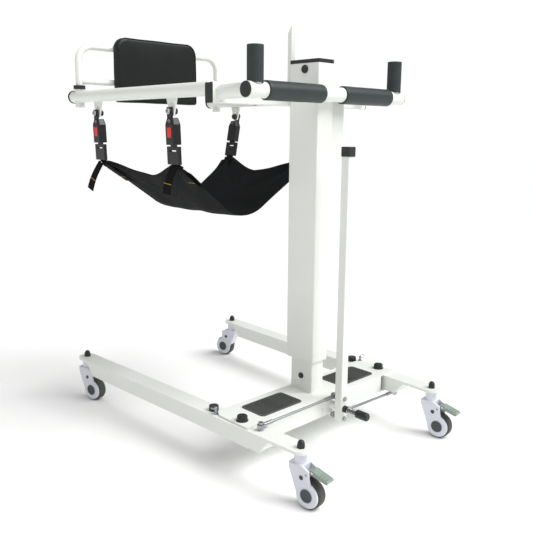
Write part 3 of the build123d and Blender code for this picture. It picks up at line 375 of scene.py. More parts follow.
def band(path, wide, normal, half_w, half_t):
    """A flat band: its rounded section carried along a path, with its width along wide and its
    thickness along normal, and both ends closed. Returns points, faces and UV in metres."""
    section = block(half_w, half_t, half_t * 0.9)
    path, wide, normal = (np.asarray(a, float) for a in (path, wide, normal))
    sideways, through = section[None, :, :1] * wide[:, None], section[None, :, 1:] * normal[:, None]
    points = path[:, None] + sideways + through
    run = np.concatenate([[0], np.cumsum(np.linalg.norm(np.diff(path, axis=0), axis=1))])
    uv = np.stack(np.broadcast_arrays(section[None, :, 0], run[:, None]), 2)
    ends = [np.broadcast_to(path[i], (1, len(section), 3)) for i in (0, -1)]
    points = np.concatenate([ends[0], points, ends[1]])
    uv = np.concatenate([uv[:1], uv, uv[-1:]])
    return points, grid_faces(len(points), len(section), wrap_columns=True), uv


# ------------------------------------------------------------------ sizes and colours to change
def colour(name, text, code):
    """A colour property with an sRGB default."""
    return FloatVectorProperty(name=name, description=text, subtype="COLOR", size=3,
                               default=linear(code))


def length(name, text, default):
    """A length property in metres."""
    return FloatProperty(name=name, description=text, subtype="DISTANCE", unit="LENGTH",
                         default=default)


class LiftColours(bpy.types.PropertyGroup):
    """Colours of the lift's finishes."""

    coat: colour("Coat", "Powder coat on the steel", "#ECEEE9")
    coat_shade: colour("Coat shade", "Darker clouds in the powder coat", "#E3E6E0")
    foam: colour("Foam", "Foam on the hand grips", "#323B3A")
    black: colour("Black", "Caps, knobs and plugs", "#1D1E20")
    buckle: colour("Buckle", "Buckles and strap adapters", "#0B0C0D")
    release: colour("Release", "Release buttons of the buckles", "#DB2417")
    tread: colour("Tread", "Rubber mats on the base", "#4A4D49")
    shell: colour("Shell", "Castor shells", "#D9DAE4")
    tyre: colour("Tyre", "Castor tyres", "#3B3C38")
    hub: colour("Hub", "Castor hub covers", "#373B3B")
    hub_ring: colour("Hub ring", "Ring round each hub cover", "#747C92")
    pedal: colour("Pedal", "Brake pedals", "#87948A")
    chrome: colour("Chrome", "Bright plated fittings", "#C9CACC")
    zinc: colour("Zinc", "Plated rods and bolts", "#A9ABAE")
    drive: colour("Drive", "Actuator housing and rod", "#8E9094")
    guide: colour("Guide", "Plastic bush inside the mast", "#D8D8D2")
    vinyl: colour("Vinyl", "Backrest cover", "#0B0F0E")
    cloth: colour("Cloth", "Seat sling", "#0B0C0E")
    webbing: colour("Webbing", "Straps sewn to the sling", "#08090A")
    thread: colour("Thread", "Contrast stitching", "#C79A22")


class LiftSizes(bpy.types.PropertyGroup):
    """Sizes of the details that are added round the frame."""

    cloth_thickness: length("Cloth", "Thickness of the sling cloth", 2.4 * MM)
    hem_width: length("Hem", "Width of the sling's folded hem", 15 * MM)
    belly_radius: length("Belly", "Radius of the sling's round belly", 130 * MM)
    fold_depth: length("Folds", "Height of the folds that run from the sling's corners", 4.5 * MM)
    strap_width: length("Strap", "Width of the sling's straps", 38 * MM)
    pad_crown: length("Crown", "How far the backrest's middle stands proud of its edges", 4.5 * MM)
    piping: length("Piping", "Radius of the backrest's piping", 1.9 * MM)
    grip_edge: length("Grip edge", "Rounding of the foam sleeves' ends", 4 * MM)
    rib_pitch: length("Rib pitch", "Distance between the ribs of the base mats", 4 * MM)
    bead: length("Weld bead", "Radius of the weld beads", 2.2 * MM)
    spring_wire: length("Spring wire", "Thickness of the lever spring's wire", 2.6 * MM)
    ring: length("Pull ring", "Radius of the ring in each pull pin", 9 * MM)
    spring_turns: IntProperty(name="Spring turns", description="Turns of the lever spring",
                              default=6)
    flutes: IntProperty(name="Flutes", description="Flutes round each screw cap", default=12)


FINISHES = {}


def finishes():
    """Every finish once, by the name that the operators use."""
    if not FINISHES:
        picked = bpy.context.scene.lift_colours
        names = LiftColours.__annotations__
        tone = SimpleNamespace(**{name: tuple(getattr(picked, name)) for name in names})
        FINISHES.update(
            coat=powder_coat(tone),
            foam=foam(tone),
            vinyl=upholstery(tone),
            # nylon caps: a dull black with fine grain that catches a soft highlight
            black=moulded("moulded_nylon_cap", tone.black, 0.42, 0.9, 0.05, 1.6),
            # glass-filled nylon buckles: a little glossier than the caps
            buckle=moulded("glass_filled_nylon", tone.buckle, 0.34, 1.2, 0.05, 1.6),
            # ABS button: bright and glossy
            release=moulded("glossy_abs", tone.release, 0.22, 1.5, 0.02, 1.1),
            # vulcanised rubber mat: matt and slightly chalky
            tread=moulded("vulcanised_rubber", tone.tread, 0.78, 0.8, 0.12, 1.25),
            # polypropylene castor shell: light, waxy gloss
            shell=moulded("polypropylene_shell", tone.shell, 0.3, 1.6, 0.03, 1.04),
            # cast polyurethane tyre: dark and satin, dusty where it rolls
            tyre=moulded("cast_polyurethane", tone.tyre, 0.55, 1.0, 0.05, 1.5),
            hub=moulded("moulded_hub_cover", tone.hub, 0.4, 0.9, 0.04, 1.3),
            hub_ring=moulded("moulded_hub_ring", tone.hub_ring, 0.32, 0.9, 0.02, 1.1),
            # polyamide pedal: sage, matt, paler where shoes rub it
            pedal=moulded("polyamide_pedal", tone.pedal, 0.48, 0.9, 0.05, 1.12),
            guide=moulded("machined_acetal", tone.guide, 0.4, 0.8, 0.03, 1.05),
            chrome=plated("chrome_plate", tone.chrome, 0.12),
            zinc=plated("zinc_plate", tone.zinc, 0.28),
            drive=plated("anodised_housing", tone.drive, 0.35),
            # woven cloth and webbing: the last number paints the thread crowns lighter, partly wear
            # and partly a painted highlight
            cloth=woven("woven_polyester", tone.cloth, 2.2, 3.4),
            webbing=woven("polyester_webbing", tone.webbing, 2.6, 3.6, rib=True),
            thread=moulded("bonded_thread", tone.thread, 0.6, 0.6, 0.1, 1.2),
        )
    return FINISHES


SLOT_FINISH = {
    "white_powder_coat": "coat",
    "grip_foam": "foam",
    "tread_rubber": "tread",
    "black_plastic": "black",
    "castor_shell": "shell",
    "castor_tyre": "tyre",
    "pedal_plastic": "pedal",
    "bright_steel": "zinc",
    "drive_steel": "zinc",
    "drive_housing": "drive",
    "guide_plastic": "guide",
    "vinyl": "vinyl",
    "sling_fabric": "cloth",
    "buckle_plastic": "buckle",
    "release_red": "release",
}


def vec(joint):
    """A hinge's point and axis as arrays."""
    return np.array(JOINTS[joint]["pos_m"]), np.array(JOINTS[joint]["axis"])


def box(node):
    """A node's lowest and highest corners as arrays."""
    return tuple(np.array(corner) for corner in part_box(node))


# ------------------------------------------------------------------ operators
class LIFT_OT_coat(bpy.types.Operator):
    """Give every node of the frame its real finish"""

    bl_idname = "lift.coat"
    bl_label = "Frame finishes"

    def execute(self, context):
        finish = finishes()
        for part in frame["record"]["subparts"]:
            mesh = frame["nodes"][part["node"]].data
            mesh.materials.clear()
            mesh.materials.append(finish[SLOT_FINISH[part["material_slot"]]])
        return {"FINISHED"}


class LIFT_OT_castors(bpy.types.Operator):
    """Tyres, hub covers, side buttons, and the ribs and pins of the brake pedals"""

    bl_idname = "lift.castors"
    bl_label = "Castors"

    def execute(self, context):
        finish = finishes()
        for castor in CASTORS:
            hub, axis = vec(f"{castor}_wheel_roll")
            stem, _ = vec(f"{castor}_castor_swivel")
            self.wheel(castor, hub, axis, finish)
            self.side_buttons(castor, hub, stem, axis, finish)
            if castor.endswith("front"):
                self.pedal(castor, hub, stem, axis, finish)
        return {"FINISHED"}

    def wheel(self, castor, hub, axis, finish):
        """Tyre: a profile turned about the axle, with rounded shoulders and two fine grooves."""
        radius, half, edge, groove = 37.5 * MM, 14 * MM, 6 * MM, 0.5 * MM
        turn = np.linspace(0, np.pi / 2, 7)
        shoulder = np.stack([radius - edge + edge * np.sin(turn),
                             edge - half - edge * np.cos(turn)], 1)
        # the grooves: place across the tread in millimetres, and depth as a share of groove
        marks = ((-5, 0), (-4.6, 1), (-4.2, 0), (4.2, 0), (4.6, 1), (5, 0))
        cuts = [(radius - deep * groove, y * MM) for y, deep in marks]
        right = shoulder[::-1] * (1, -1)
        inner = [(0, -half + 3 * MM), (25 * MM, -half + 3 * MM), (27 * MM, -half)]
        outer = [(r, -y) for r, y in inner[::-1]]
        profile = np.concatenate([inner, shoulder, cuts, right, outer])
        points, faces = turned(profile, hub, axis, 96)
        tyre = make_piece(f"{castor}_tyre", points, faces, f"{castor}_wheel", finish["tyre"],
                          smooth=35)
        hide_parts(f"{castor}_castor_wheel")
        # the hub: a core through the fork's bore and a dished cover against each cheek
        cover, core, cheek, reach = 17 * MM, 13.2 * MM, 20.15 * MM, 21.2 * MM
        dish = [(0, -0.9), (7.4, -0.9), (8, -0.4), (14, -0.4), (14.4, 0), (16.9, 0)]
        dish = np.array([(r * MM, reach + y * MM) for r, y in dish])
        barrel = [(cover, -cheek), (core, -cheek), (core, cheek), (cover, cheek)]
        body = np.concatenate([dish * (1, -1), barrel, dish[::-1]])
        points, faces = turned(body, hub, axis, 64)
        make_piece(f"{castor}_hub", points, faces, f"{castor}_wheel", finish["hub"],
                   smooth=35)
        angle = np.arange(64) * 2 * np.pi / 64
        first, second = across(axis)
        ring = np.cos(angle)[:, None] * first + np.sin(angle)[:, None] * second
        lips = []
        for side in (-1, 1):
            path = hub + side * (reach - 0.2 * MM) * axis + ring * (cover + 0.35 * MM)
            lips.append(swept(path, 0.8 * MM, sides=8))
        points, faces = joined(*lips)
        make_piece(f"{castor}_hub_rings", points, faces, f"{castor}_wheel", finish["hub_ring"])

    def side_buttons(self, castor, hub, stem, axis, finish):
        """Dark snap covers on the fork's cheeks: a low disc with a dished face, turned about a line
        beside the axle."""
        way = hub - stem
        way[2] = 0
        way /= np.linalg.norm(way)
        centre = stem * (1, 1, 0) + 17 * MM * way + np.array([0, 0, 81 * MM])
        cheek = 20.2 * MM
        profile = [(0, 0.9), (3.6, 0.9), (4.2, 1.5), (5.2, 1.5), (5.9, 0.9), (5.9, -2.0), (0, -2.0)]
        profile = np.array(profile) * MM + (0, cheek)
        points, faces = joined(*[turned(profile, centre, s * axis, 40) for s in (-1, 1)])
        make_piece(f"{castor}_side_buttons", points, faces, f"{castor}_swivel", finish["hub"],
                   smooth=35)

    def pedal(self, castor, hub, stem, axis, finish):
        """Ribs across the pedal: each a round bar whose radius falls to nothing at both ends; and a
        bright pin across its root."""
        way = (hub - stem) * (1, 1, 0)
        way /= np.linalg.norm(way)
        start = stem * (1, 1, 0)
        along = np.linspace(-1, 1, 15)
        taper = np.sqrt(np.clip(1 - along**8, 0, 1))
        ribs = []
        # each rib's reach past the stem, height and radius, in millimetres
        for reach, height, radius in ((60, 99.2, 1.6), (68, 97.2, 1.9), (76, 95.0, 2.1),
                                      (84, 92.8, 2.1)):
            middle = start + reach * MM * way + np.array([0, 0, height * MM])
            path = middle + along[:, None] * 12.6 * MM * axis
            path = path + (0.9 * MM * np.cos(along * 2.5 * np.pi))[:, None] * np.array([0, 0, 1.0])
            ribs.append(swept(path, radius * MM * taper, closed=False))
        points, faces = joined(*ribs)
        body = f"{castor}_pedal"
        make_piece(f"{castor}_pedal_ribs", points, faces, body, finish["pedal"])
        pin = start + 45 * MM * way + np.array([0, 0, 100 * MM])
        points, faces = turned(rounded(3.4 * MM, -15.5 * MM, 15.5 * MM, 0.8 * MM), pin, axis, 28)
        make_piece(f"{castor}_pedal_pin", points, faces, body, finish["chrome"],
                   smooth=35)


class LIFT_OT_fittings(bpy.types.Operator):
    """Stem caps, fluted screw caps, pull rings, small screws, eyelets and weld beads"""

    bl_idname = "lift.fittings"
    bl_label = "Fittings"

    def execute(self, context):
        sizes, finish = context.scene.lift_sizes, finishes()
        for castor in CASTORS:
            self.stem_cap(castor, finish)
        for word, side in SIDES.items():
            self.pivot_cap(word, sizes, finish)
            self.pull_pin(word, side, sizes, finish)
        self.buckle_details(sizes, finish)
        self.small_screws(finish)
        self.spring(sizes, finish)
        self.weld_beads(sizes, finish)
        return {"FINISHED"}

    def stem_cap(self, castor, finish):
        """Acorn cap: a six-sided base whose flats fade out as the turned dome closes above it."""
        low, high = box(f"{castor}_castor_cap")
        middle = (low + high) / 2
        radius, top = (high[0] - low[0]) / 2, high[2] - low[2]
        share = np.array([0, 0, 0.02, 0.36, 0.42, 0.45, 0.55, 0.68, 0.8, 0.89, 0.95, 0.985, 1.0])
        dome = np.sqrt(np.clip(1 - ((share - 0.42) / 0.58).clip(0) ** 2.2, 0, 1))
        dome[0] = 0
        profile = np.stack([radius * dome * np.where(share > 0.42, 0.9, 1.0), share * top], 1)
        flats = (share < 0.43).astype(float)

        def six(angle, row):
            sixth = np.pi / 3
            apothem = math.cos(sixth / 2) / np.cos((angle % sixth) - sixth / 2)
            return 1 + flats[row] * (apothem - 1)

        base = (middle[0], middle[1], low[2])
        points, faces = turned(profile, base, (0, 0, 1), 60, six)
        body = frame["nodes"][f"{castor}_castor_cap"]["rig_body"]
        name = f"{castor}_stem_cap"
        cap = make_piece(name, points, faces, body, finish["black"], smooth=28)
        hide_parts(f"{castor}_castor_cap")

    def pivot_cap(self, word, sizes, finish):
        """Fluted cap over the leg pivot bolt: the radius dips at each flute, on a plain flange."""
        _, high = box("leg_pivot_bolts")
        pivot = np.array(JOINTS[f"{word}_leg_spread"]["pos_m"])
        plate_top = box("base_top_plate")[1][2]
        top = high[2] - plate_top
        rows = [(0, 0), (16.6, 0), (16.6, 1.6), (15.0, 2.2), (14.6, 3.0), (14.4, 12.6)]
        rows += [(13.4, 14.6), (11.0, 15.6), (8.2, 15.9), (7.6, 14.4), (0, 14.4)]
        rows = np.array(rows) * MM
        fluted = np.array([0, 0, 0, 0, 1, 1, 1, 0.3, 0, 0, 0])
        count = sizes.flutes

        def flutes(angle, row):
            return 1 - 0.055 * fluted[row] * np.clip(np.cos(angle * count), 0, 1) ** 2

        rows[:, 1] *= top / (15 * MM)
        points, faces = turned(rows, (pivot[0], pivot[1], plate_top), (0, 0, 1), 120, flutes)
        make_piece(f"{word}_pivot_cap", points, faces, "base", finish["black"],
                   smooth=30)

    def pull_pin(self, word, side, sizes, finish):
        """A split ring through the pull pin: a round wire carried round a leaning circle; and a
        turned collar at its foot."""
        pivot = np.array(JOINTS[f"{word}_leg_spread"]["pos_m"])
        back = np.array(JOINTS[f"{word}_leg_extend"]["axis"])
        out = np.cross(back, (0, 0, 1))
        out = out if out[0] * side > 0 else -out
        foot = pivot + 90 * MM * back + 14 * MM * out
        foot[2] = box(f"{word}_leg_front")[1][2]
        angle = np.arange(48) * 2 * np.pi / 48
        lean = np.array([0, 0, 1.0]) * 0.35 + out * 0.94
        centre = foot + np.array([0, 0, 15 * MM]) + lean * sizes.ring * 0.86
        path = centre + sizes.ring * (np.cos(angle)[:, None] * lean + np.sin(angle)[:, None] * back)
        ring = swept(path, 1.15 * MM, sides=10)
        top = foot[2] + 18 * MM
        collar = [(0, -0.4), (4.4, -0.4), (4.9, 0.4), (4.9, 1.6), (4.2, 2.6), (0, 3.0)]
        knob = turned(np.array(collar) * MM, (foot[0], foot[1], top), (0, 0, 1), 32)
        points, faces = joined(ring, knob)
        make_piece(f"{word}_pull_ring", points, faces, f"{word}_leg", finish["chrome"],
                   smooth=35)

    def buckle_details(self, sizes, finish):
        """Turned bolt heads outside, fluted nuts inside, and a bright eyelet in each buckle."""
        for corner in CORNERS:
            word = corner.split("_")[0]
            side = SIDES[word]
            button_low, button_high = box(f"{corner}_release_button")
            y = (button_low[1] + button_high[1]) / 2
            bolt = np.array([side * HANGER_X, y, HANGER_Z])
            out = np.array([side, 0.0, 0.0])
            count = sizes.flutes

            def flutes(angle, row):
                on_wall = (row > 1) & (row < 5)
                return 1 - 0.07 * np.clip(np.cos(angle * count), 0, 1) ** 2 * on_wall

            nut = [(0, 2.6), (9.4, 2.6), (9.4, 4.0), (9.4, 11.5), (8.2, 14.0), (0, 14.4)]
            points, faces = turned(np.array(nut) * MM * (1, -1), bolt, out, 72, flutes)
            make_piece(f"{corner}_hanger_nut", points, faces, "carriage", finish["black"],
                       smooth=30)
            head = [(0, 13.4), (8.6, 13.4), (8.6, 14.4), (6.9, 14.8), (6.9, 17.6), (5.6, 18.6)]
            head += [(3.4, 18.6), (3.2, 16.9), (0, 16.9)]
            points, faces = turned(np.array(head) * MM, bolt, out, 48)
            make_piece(f"{corner}_hanger_head", points, faces, "carriage", finish["chrome"],
                       smooth=30)
            tilt = math.radians(STRAP_LEAN[word])
            down = np.array([-side * math.sin(tilt), 0, -math.cos(tilt)])
            face = np.array([side * math.cos(tilt), 0, -math.sin(tilt)])
            # the eyelet's rim stands a hair past each face of the buckle
            eye, reach = bolt + 26.5 * MM * down, 12.9 * MM
            rim = [(0, -0.7), (2.9, -0.7), (3.2, 0.1), (3.7, 0.5), (4.5, 0.4), (4.9, -0.3)]
            rim = np.array(rim + [(4.9, -1.5), (0, -1.5)]) * MM + (0, reach)
            points, faces = joined(*[turned(rim, eye, s * face, 36) for s in (-1, 1)])
            make_piece(f"{corner}_eyelet", points, faces, "carriage", finish["chrome"],
                       smooth=40)

    def small_screws(self, finish):
        """Two button head screws under the cross beam: a low dome with a dished socket, turned
        about a downward line."""
        dome = [(0, -0.2), (4.2, -0.2), (4.2, 0.6), (3.4, 1.9), (2.1, 2.5), (1.7, 2.5)]
        dome = np.array(dome + [(1.6, 1.0), (0, 1.0)]) * MM
        beam_low, beam_high = box("cross_beam")
        beam_y, apart = (beam_low[1] + beam_high[1]) / 2, 150 * MM
        spots = [(side * apart, beam_y, BEAM_FOOT_Z) for side in (1, -1)]
        points, faces = joined(*[turned(dome, spot, (0, 0, -1), 32) for spot in spots])
        make_piece("beam_screws", points, faces, "carriage", finish["zinc"],
                   smooth=35)

    def weld_beads(self, sizes, finish):
        """Weld beads: a round section carried round each joint line, its radius rippling every
        3 mm. A tube on a flat face gives a circle, and a tube on a tube their crossing curve."""
        turn = np.arange(160) * 2 * np.pi / 160

        def bead(path):
            run = np.cumsum(np.linalg.norm(np.diff(path, axis=0, append=path[:1]), axis=1))
            ripple = 1 + 0.14 * np.sin(run * round(run[-1] / (3 * MM)) * 2 * np.pi / run[-1])
            return swept(path, sizes.bead * ripple, sides=8)

        beam_low, _ = box("cross_beam")
        sideways, rise = TUBE_R * np.cos(turn), TUBE_R * np.sin(turn)
        beads = []
        for side in SIDES.values():
            for x, y, z in ((STUB_X, beam_low[1], BAR_Z), (ARM_X, ARM_Y, ARM_Z)):
                level = np.full_like(turn, y)
                beads.append(bead(np.stack([side * x + sideways, level, z + rise], 1)))
            crossing = BAR_Y + np.sqrt(BAR_R**2 - rise**2)
            beads.append(bead(np.stack([side * STUB_X + sideways, crossing, BAR_Z + rise], 1)))
        points, faces = joined(*beads)
        make_piece("carriage_welds", points, faces, "carriage", finish["coat"])
        low, high = box("inner_mast")
        foot = outline((high[0] - low[0]) / 2, (high[1] - low[1]) / 2, 4 * MM, 4 * MM, 320)
        middle = (low + high)[:2] / 2
        ring = np.column_stack([foot + middle, np.full(len(foot), low[2])])
        points, faces = bead(ring)
        make_piece("mast_foot_weld", points, faces, "base", finish["coat"])

    def spring(self, sizes, finish):
        """The lever's coil spring: a wire carried along a screw line, radius constant and reach
        growing evenly with the angle, except that the wire's two ends stay flat for a moment."""
        low, high = box("lever_spring")
        wire = sizes.spring_wire / 2
        radius = (high[0] - low[0]) / 2 - wire
        share = np.linspace(0, 1, 260)
        angle = share * sizes.spring_turns * 2 * np.pi
        reach = np.clip((share - 0.04) / 0.92, 0, 1) * (high[1] - low[1] - 2 * wire)
        middle_x, middle_z = (low[0] + high[0]) / 2, (low[2] + high[2]) / 2
        path = np.stack([middle_x + radius * np.cos(angle), low[1] + wire + reach,
                         middle_z + radius * np.sin(angle)], 1)
        taper = np.full(len(path), wire)
        taper[[0, -1]] = 0
        points, faces = swept(path, taper, closed=False, sides=12)
        piece = make_piece("lever_coil", points, faces, "base", finish["chrome"])
        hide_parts("lever_spring")


class LIFT_OT_grips(bpy.types.Operator):
    """Foam sleeves on the handle bar and on the two upright posts"""

    bl_idname = "lift.grips"
    bl_label = "Hand grips"

    def execute(self, context):
        sizes, finish = context.scene.lift_sizes, finishes()
        edge = sizes.grip_edge
        low, high = box("handle_grips")
        radius, bore = (high[2] - low[2]) / 2, 20.2 * MM
        turn = np.linspace(0, np.pi / 2, 7)
        inner, outer = 41 * MM, high[0]
        rise = np.stack([radius - edge + edge * np.sin(turn), edge - edge * np.cos(turn)], 1)
        reach = np.linspace(0.06, 0.94, 40)
        # the foam is never quite even: it swells and thins by a fraction of a millimetre
        swell = radius + 0.25 * MM * np.sin(reach * 17) * np.sin(reach * 5.3)
        for name, node in (("bar", "handle_grips"), ("post", "upright_grips")):
            shapes = []
            for side in SIDES.values():
                if name == "bar":
                    span = outer - inner
                    run = np.column_stack([np.minimum(swell, radius), reach * span])
                    end = rise[::-1] * (1, -1) + (0, span)
                    profile = np.concatenate([[(bore, 0)], rise, run, end,
                                              [(bore, span), (bore, 0)]])
                    at = (side * inner, (low[1] + high[1]) / 2, (low[2] + high[2]) / 2)
                    shapes.append(turned(profile, at, (side, 0, 0), 72))
                else:
                    shapes.append(self.post(side))
            points, faces = joined(*shapes)
            piece = make_piece(f"{name}_grip_foam", points, faces, "carriage", finish["foam"],
                               smooth=50)
            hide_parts(node)
        return {"FINISHED"}

    def post(self, side):
        """Upright sleeve: a round wall whose foot follows the top of the bar's crossing curve:
        height over the bar's axis = root of bar radius squared less the sideways distance squared,
        but no lower than foot_low. The top is flat."""
        low, high = box("upright_grips")
        radius, foot_low = 20.75 * MM, 16.5 * MM
        centre = np.array([side * STUB_X, (low[1] + high[1]) / 2])
        angle = np.arange(72) * 2 * np.pi / 72
        plan = np.stack([np.cos(angle), np.sin(angle)], 1)
        saddle = BAR_Z + np.sqrt(np.clip(BAR_R**2 - (radius * plan[:, 1]) ** 2, foot_low**2, None))
        edge = 2.4 * MM
        turn = np.linspace(0, np.pi / 2, 6)
        middle = np.repeat(centre[None], len(plan), 0)
        rows = [np.column_stack([middle, np.full(len(plan), saddle.max())])]
        rows.append(np.column_stack([centre + plan * radius, saddle]))
        for share in np.linspace(0.1, 1, 16):
            height = saddle + share * (high[2] - edge - saddle)
            rows.append(np.column_stack([centre + plan * radius, height]))
        for t in turn[1:]:
            rim = radius - edge + edge * math.cos(t)
            height = np.full(len(plan), high[2] - edge + edge * math.sin(t))
            rows.append(np.column_stack([centre + plan * rim, height]))
        rows.append(np.column_stack([middle, np.full(len(plan), high[2])]))
        points = np.stack(rows)
        return points, grid_faces(len(points), len(plan), wrap_columns=True)


class LIFT_OT_treads(bpy.types.Operator):
    """Ribbed rubber mats on the base"""

    bl_idname = "lift.treads"
    bl_label = "Base mats"

    def execute(self, context):
        """Each mat: a grid whose corners are drawn in along a circle, its top rising and falling
        inside a plain border as a clipped cosine of the distance across the base."""
        sizes, finish = context.scene.lift_sizes, finishes()
        low, high = box("foot_pads")
        half_w, half_d = MAT_HALF_W, (high[1] - low[1]) / 2
        thick, rib_h, border = high[2] - low[2], 0.7 * MM, 5 * MM
        wide, deep = 241, 61
        quads = grid_faces(wide, deep)
        shapes = []
        for side in SIDES.values():
            centre = np.array([side * (high[0] - half_w), (low[1] + high[1]) / 2])
            u, v = np.meshgrid(np.linspace(-1, 1, wide), np.linspace(-1, 1, deep), indexing="ij")
            corner = MAT_CORNER_R
            x, y = u * half_w, v * half_d
            over_x, over_y = np.abs(x) - (half_w - corner), np.abs(y) - (half_d - corner)
            away = np.hypot(over_x.clip(0), over_y.clip(0))
            pull = np.where((over_x > 0) & (over_y > 0),
                            np.minimum(1, np.maximum(over_x, over_y) / away.clip(1e-9)), 1)
            pulled_x = half_w - corner + over_x * np.where(over_y > 0, pull, 1)
            pulled_y = half_d - corner + over_y * np.where(over_x > 0, pull, 1)
            x = np.sign(x) * np.where(over_x > 0, pulled_x, np.abs(x))
            y = np.sign(y) * np.where(over_y > 0, pulled_y, np.abs(y))
            rim = np.minimum(half_w - np.abs(u * half_w), half_d - np.abs(v * half_d))
            ribs = rib_h * np.clip(np.cos(x / sizes.rib_pitch * 2 * np.pi) * 2, -1, 1)
            top = low[2] + thick - rib_h + np.where(rim > border, ribs, 0.3 * MM)
            top = np.where(rim < 0.1 * MM, low[2] + thick * 0.55, np.minimum(top, high[2]))
            upper = np.stack([centre[0] + x, centre[1] + y, top], 2)
            lower = np.stack([centre[0] + x, centre[1] + y, np.full_like(x, low[2] + 0.05 * MM)], 2)
            count = wide * deep
            index = np.arange(count).reshape(wide, deep)
            loop = np.concatenate([index[:, 0], index[-1, 1:], index[-2::-1, -1],
                                   index[0, -2:0:-1]])
            wall = np.stack([loop, np.roll(loop, -1), np.roll(loop, -1) + count, loop + count], 1)
            faces = np.concatenate([quads, quads[:, ::-1] + count, wall])
            shapes.append((np.concatenate([upper.reshape(-1, 3), lower.reshape(-1, 3)]), faces))
        points, faces = joined(*shapes)
        mats = make_piece("base_mats", points, faces, "base", finish["tread"],
                          smooth=30)
        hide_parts("foot_pads")
        return {"FINISHED"}


class LIFT_OT_backrest(bpy.types.Operator):
    """Padded backrest with piping along both seams"""

    bl_idname = "lift.backrest"
    bl_label = "Backrest pad"

    def execute(self, context):
        """Rings that shrink from the board's rounded outline to its middle. The face stands proud
        by the crown times one less the fourth power of the ring's size, dips into the seam near
        the rim and rolls over a bulging side; the back is flat. Small puckers run along the
        seam."""
        sizes, finish = context.scene.lift_sizes, finishes()
        low, high = box("backrest_pad")
        half_w, half_h = (high[0] - low[0]) / 2, (high[2] - low[2]) / 2
        centre = (low + high) / 2
        count, inset, top_r, low_r = 360, 1.2 * MM, 40 * MM, 8 * MM
        plan = outline(half_w - inset, half_h - inset, top_r, low_r, count)
        run = np.arange(count) / count * 2 * np.pi
        # between its corners each side pulls in by up to a millimetre and a half
        pull = 1 - 0.006 * np.cos(run * 4) ** 2
        plan = plan * pull[:, None]
        deep = high[1] - low[1]
        crown = sizes.pad_crown
        rings = [(s, crown * s**4, 0) for s in np.linspace(0, 0.93, 32)]
        rings += [(0.95, crown * 0.86, 1), (0.965, crown + 0.9 * MM, 1),
                  (0.975, crown + 1.9 * MM, 1)]
        rings += [(0.985, crown + 2.0 * MM, 0.5), (0.994, crown + 2.6 * MM, 0.3),
                  (1.0, crown + 4.5 * MM, 0)]
        side = np.linspace(crown + 6 * MM, deep - 5 * MM, 6)
        rings += [(1.0 + 0.004 * math.sin(math.pi * i / 5), y, 0) for i, y in enumerate(side)]
        rings += [(0.996, deep - 2.5 * MM, 0), (0.985, deep - 0.8 * MM, 0),
                  (0.96, deep - 0.2 * MM, 0), (0, deep, 0)]
        pucker = 0.3 * MM * np.sin(run * 90)
        points = np.empty((len(rings), count, 3))
        for row, (scale, y, ripple) in enumerate(rings):
            points[row, :, 0] = centre[0] + plan[:, 0] * scale
            points[row, :, 1] = low[1] + y + pucker * ripple
            points[row, :, 2] = centre[2] + plan[:, 1] * scale
        faces = grid_faces(len(rings), count, wrap_columns=True)
        pad = make_piece("backrest_cushion", points, faces, "backrest", finish["vinyl"],
                         smooth=180)
        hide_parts("backrest_pad")
        cords = []
        for y in (low[1] + crown + 2.2 * MM, high[1] - 3.2 * MM):
            ring = plan * 0.992
            path = np.column_stack([centre[0] + ring[:, 0], np.full(count, y),
                                    centre[2] + ring[:, 1]])
            cords.append(swept(path, sizes.piping, sides=10))
        points, faces = joined(*cords)
        make_piece("backrest_piping", points, faces, "backrest", finish["vinyl"],
                   smooth=180)
        return {"FINISHED"}


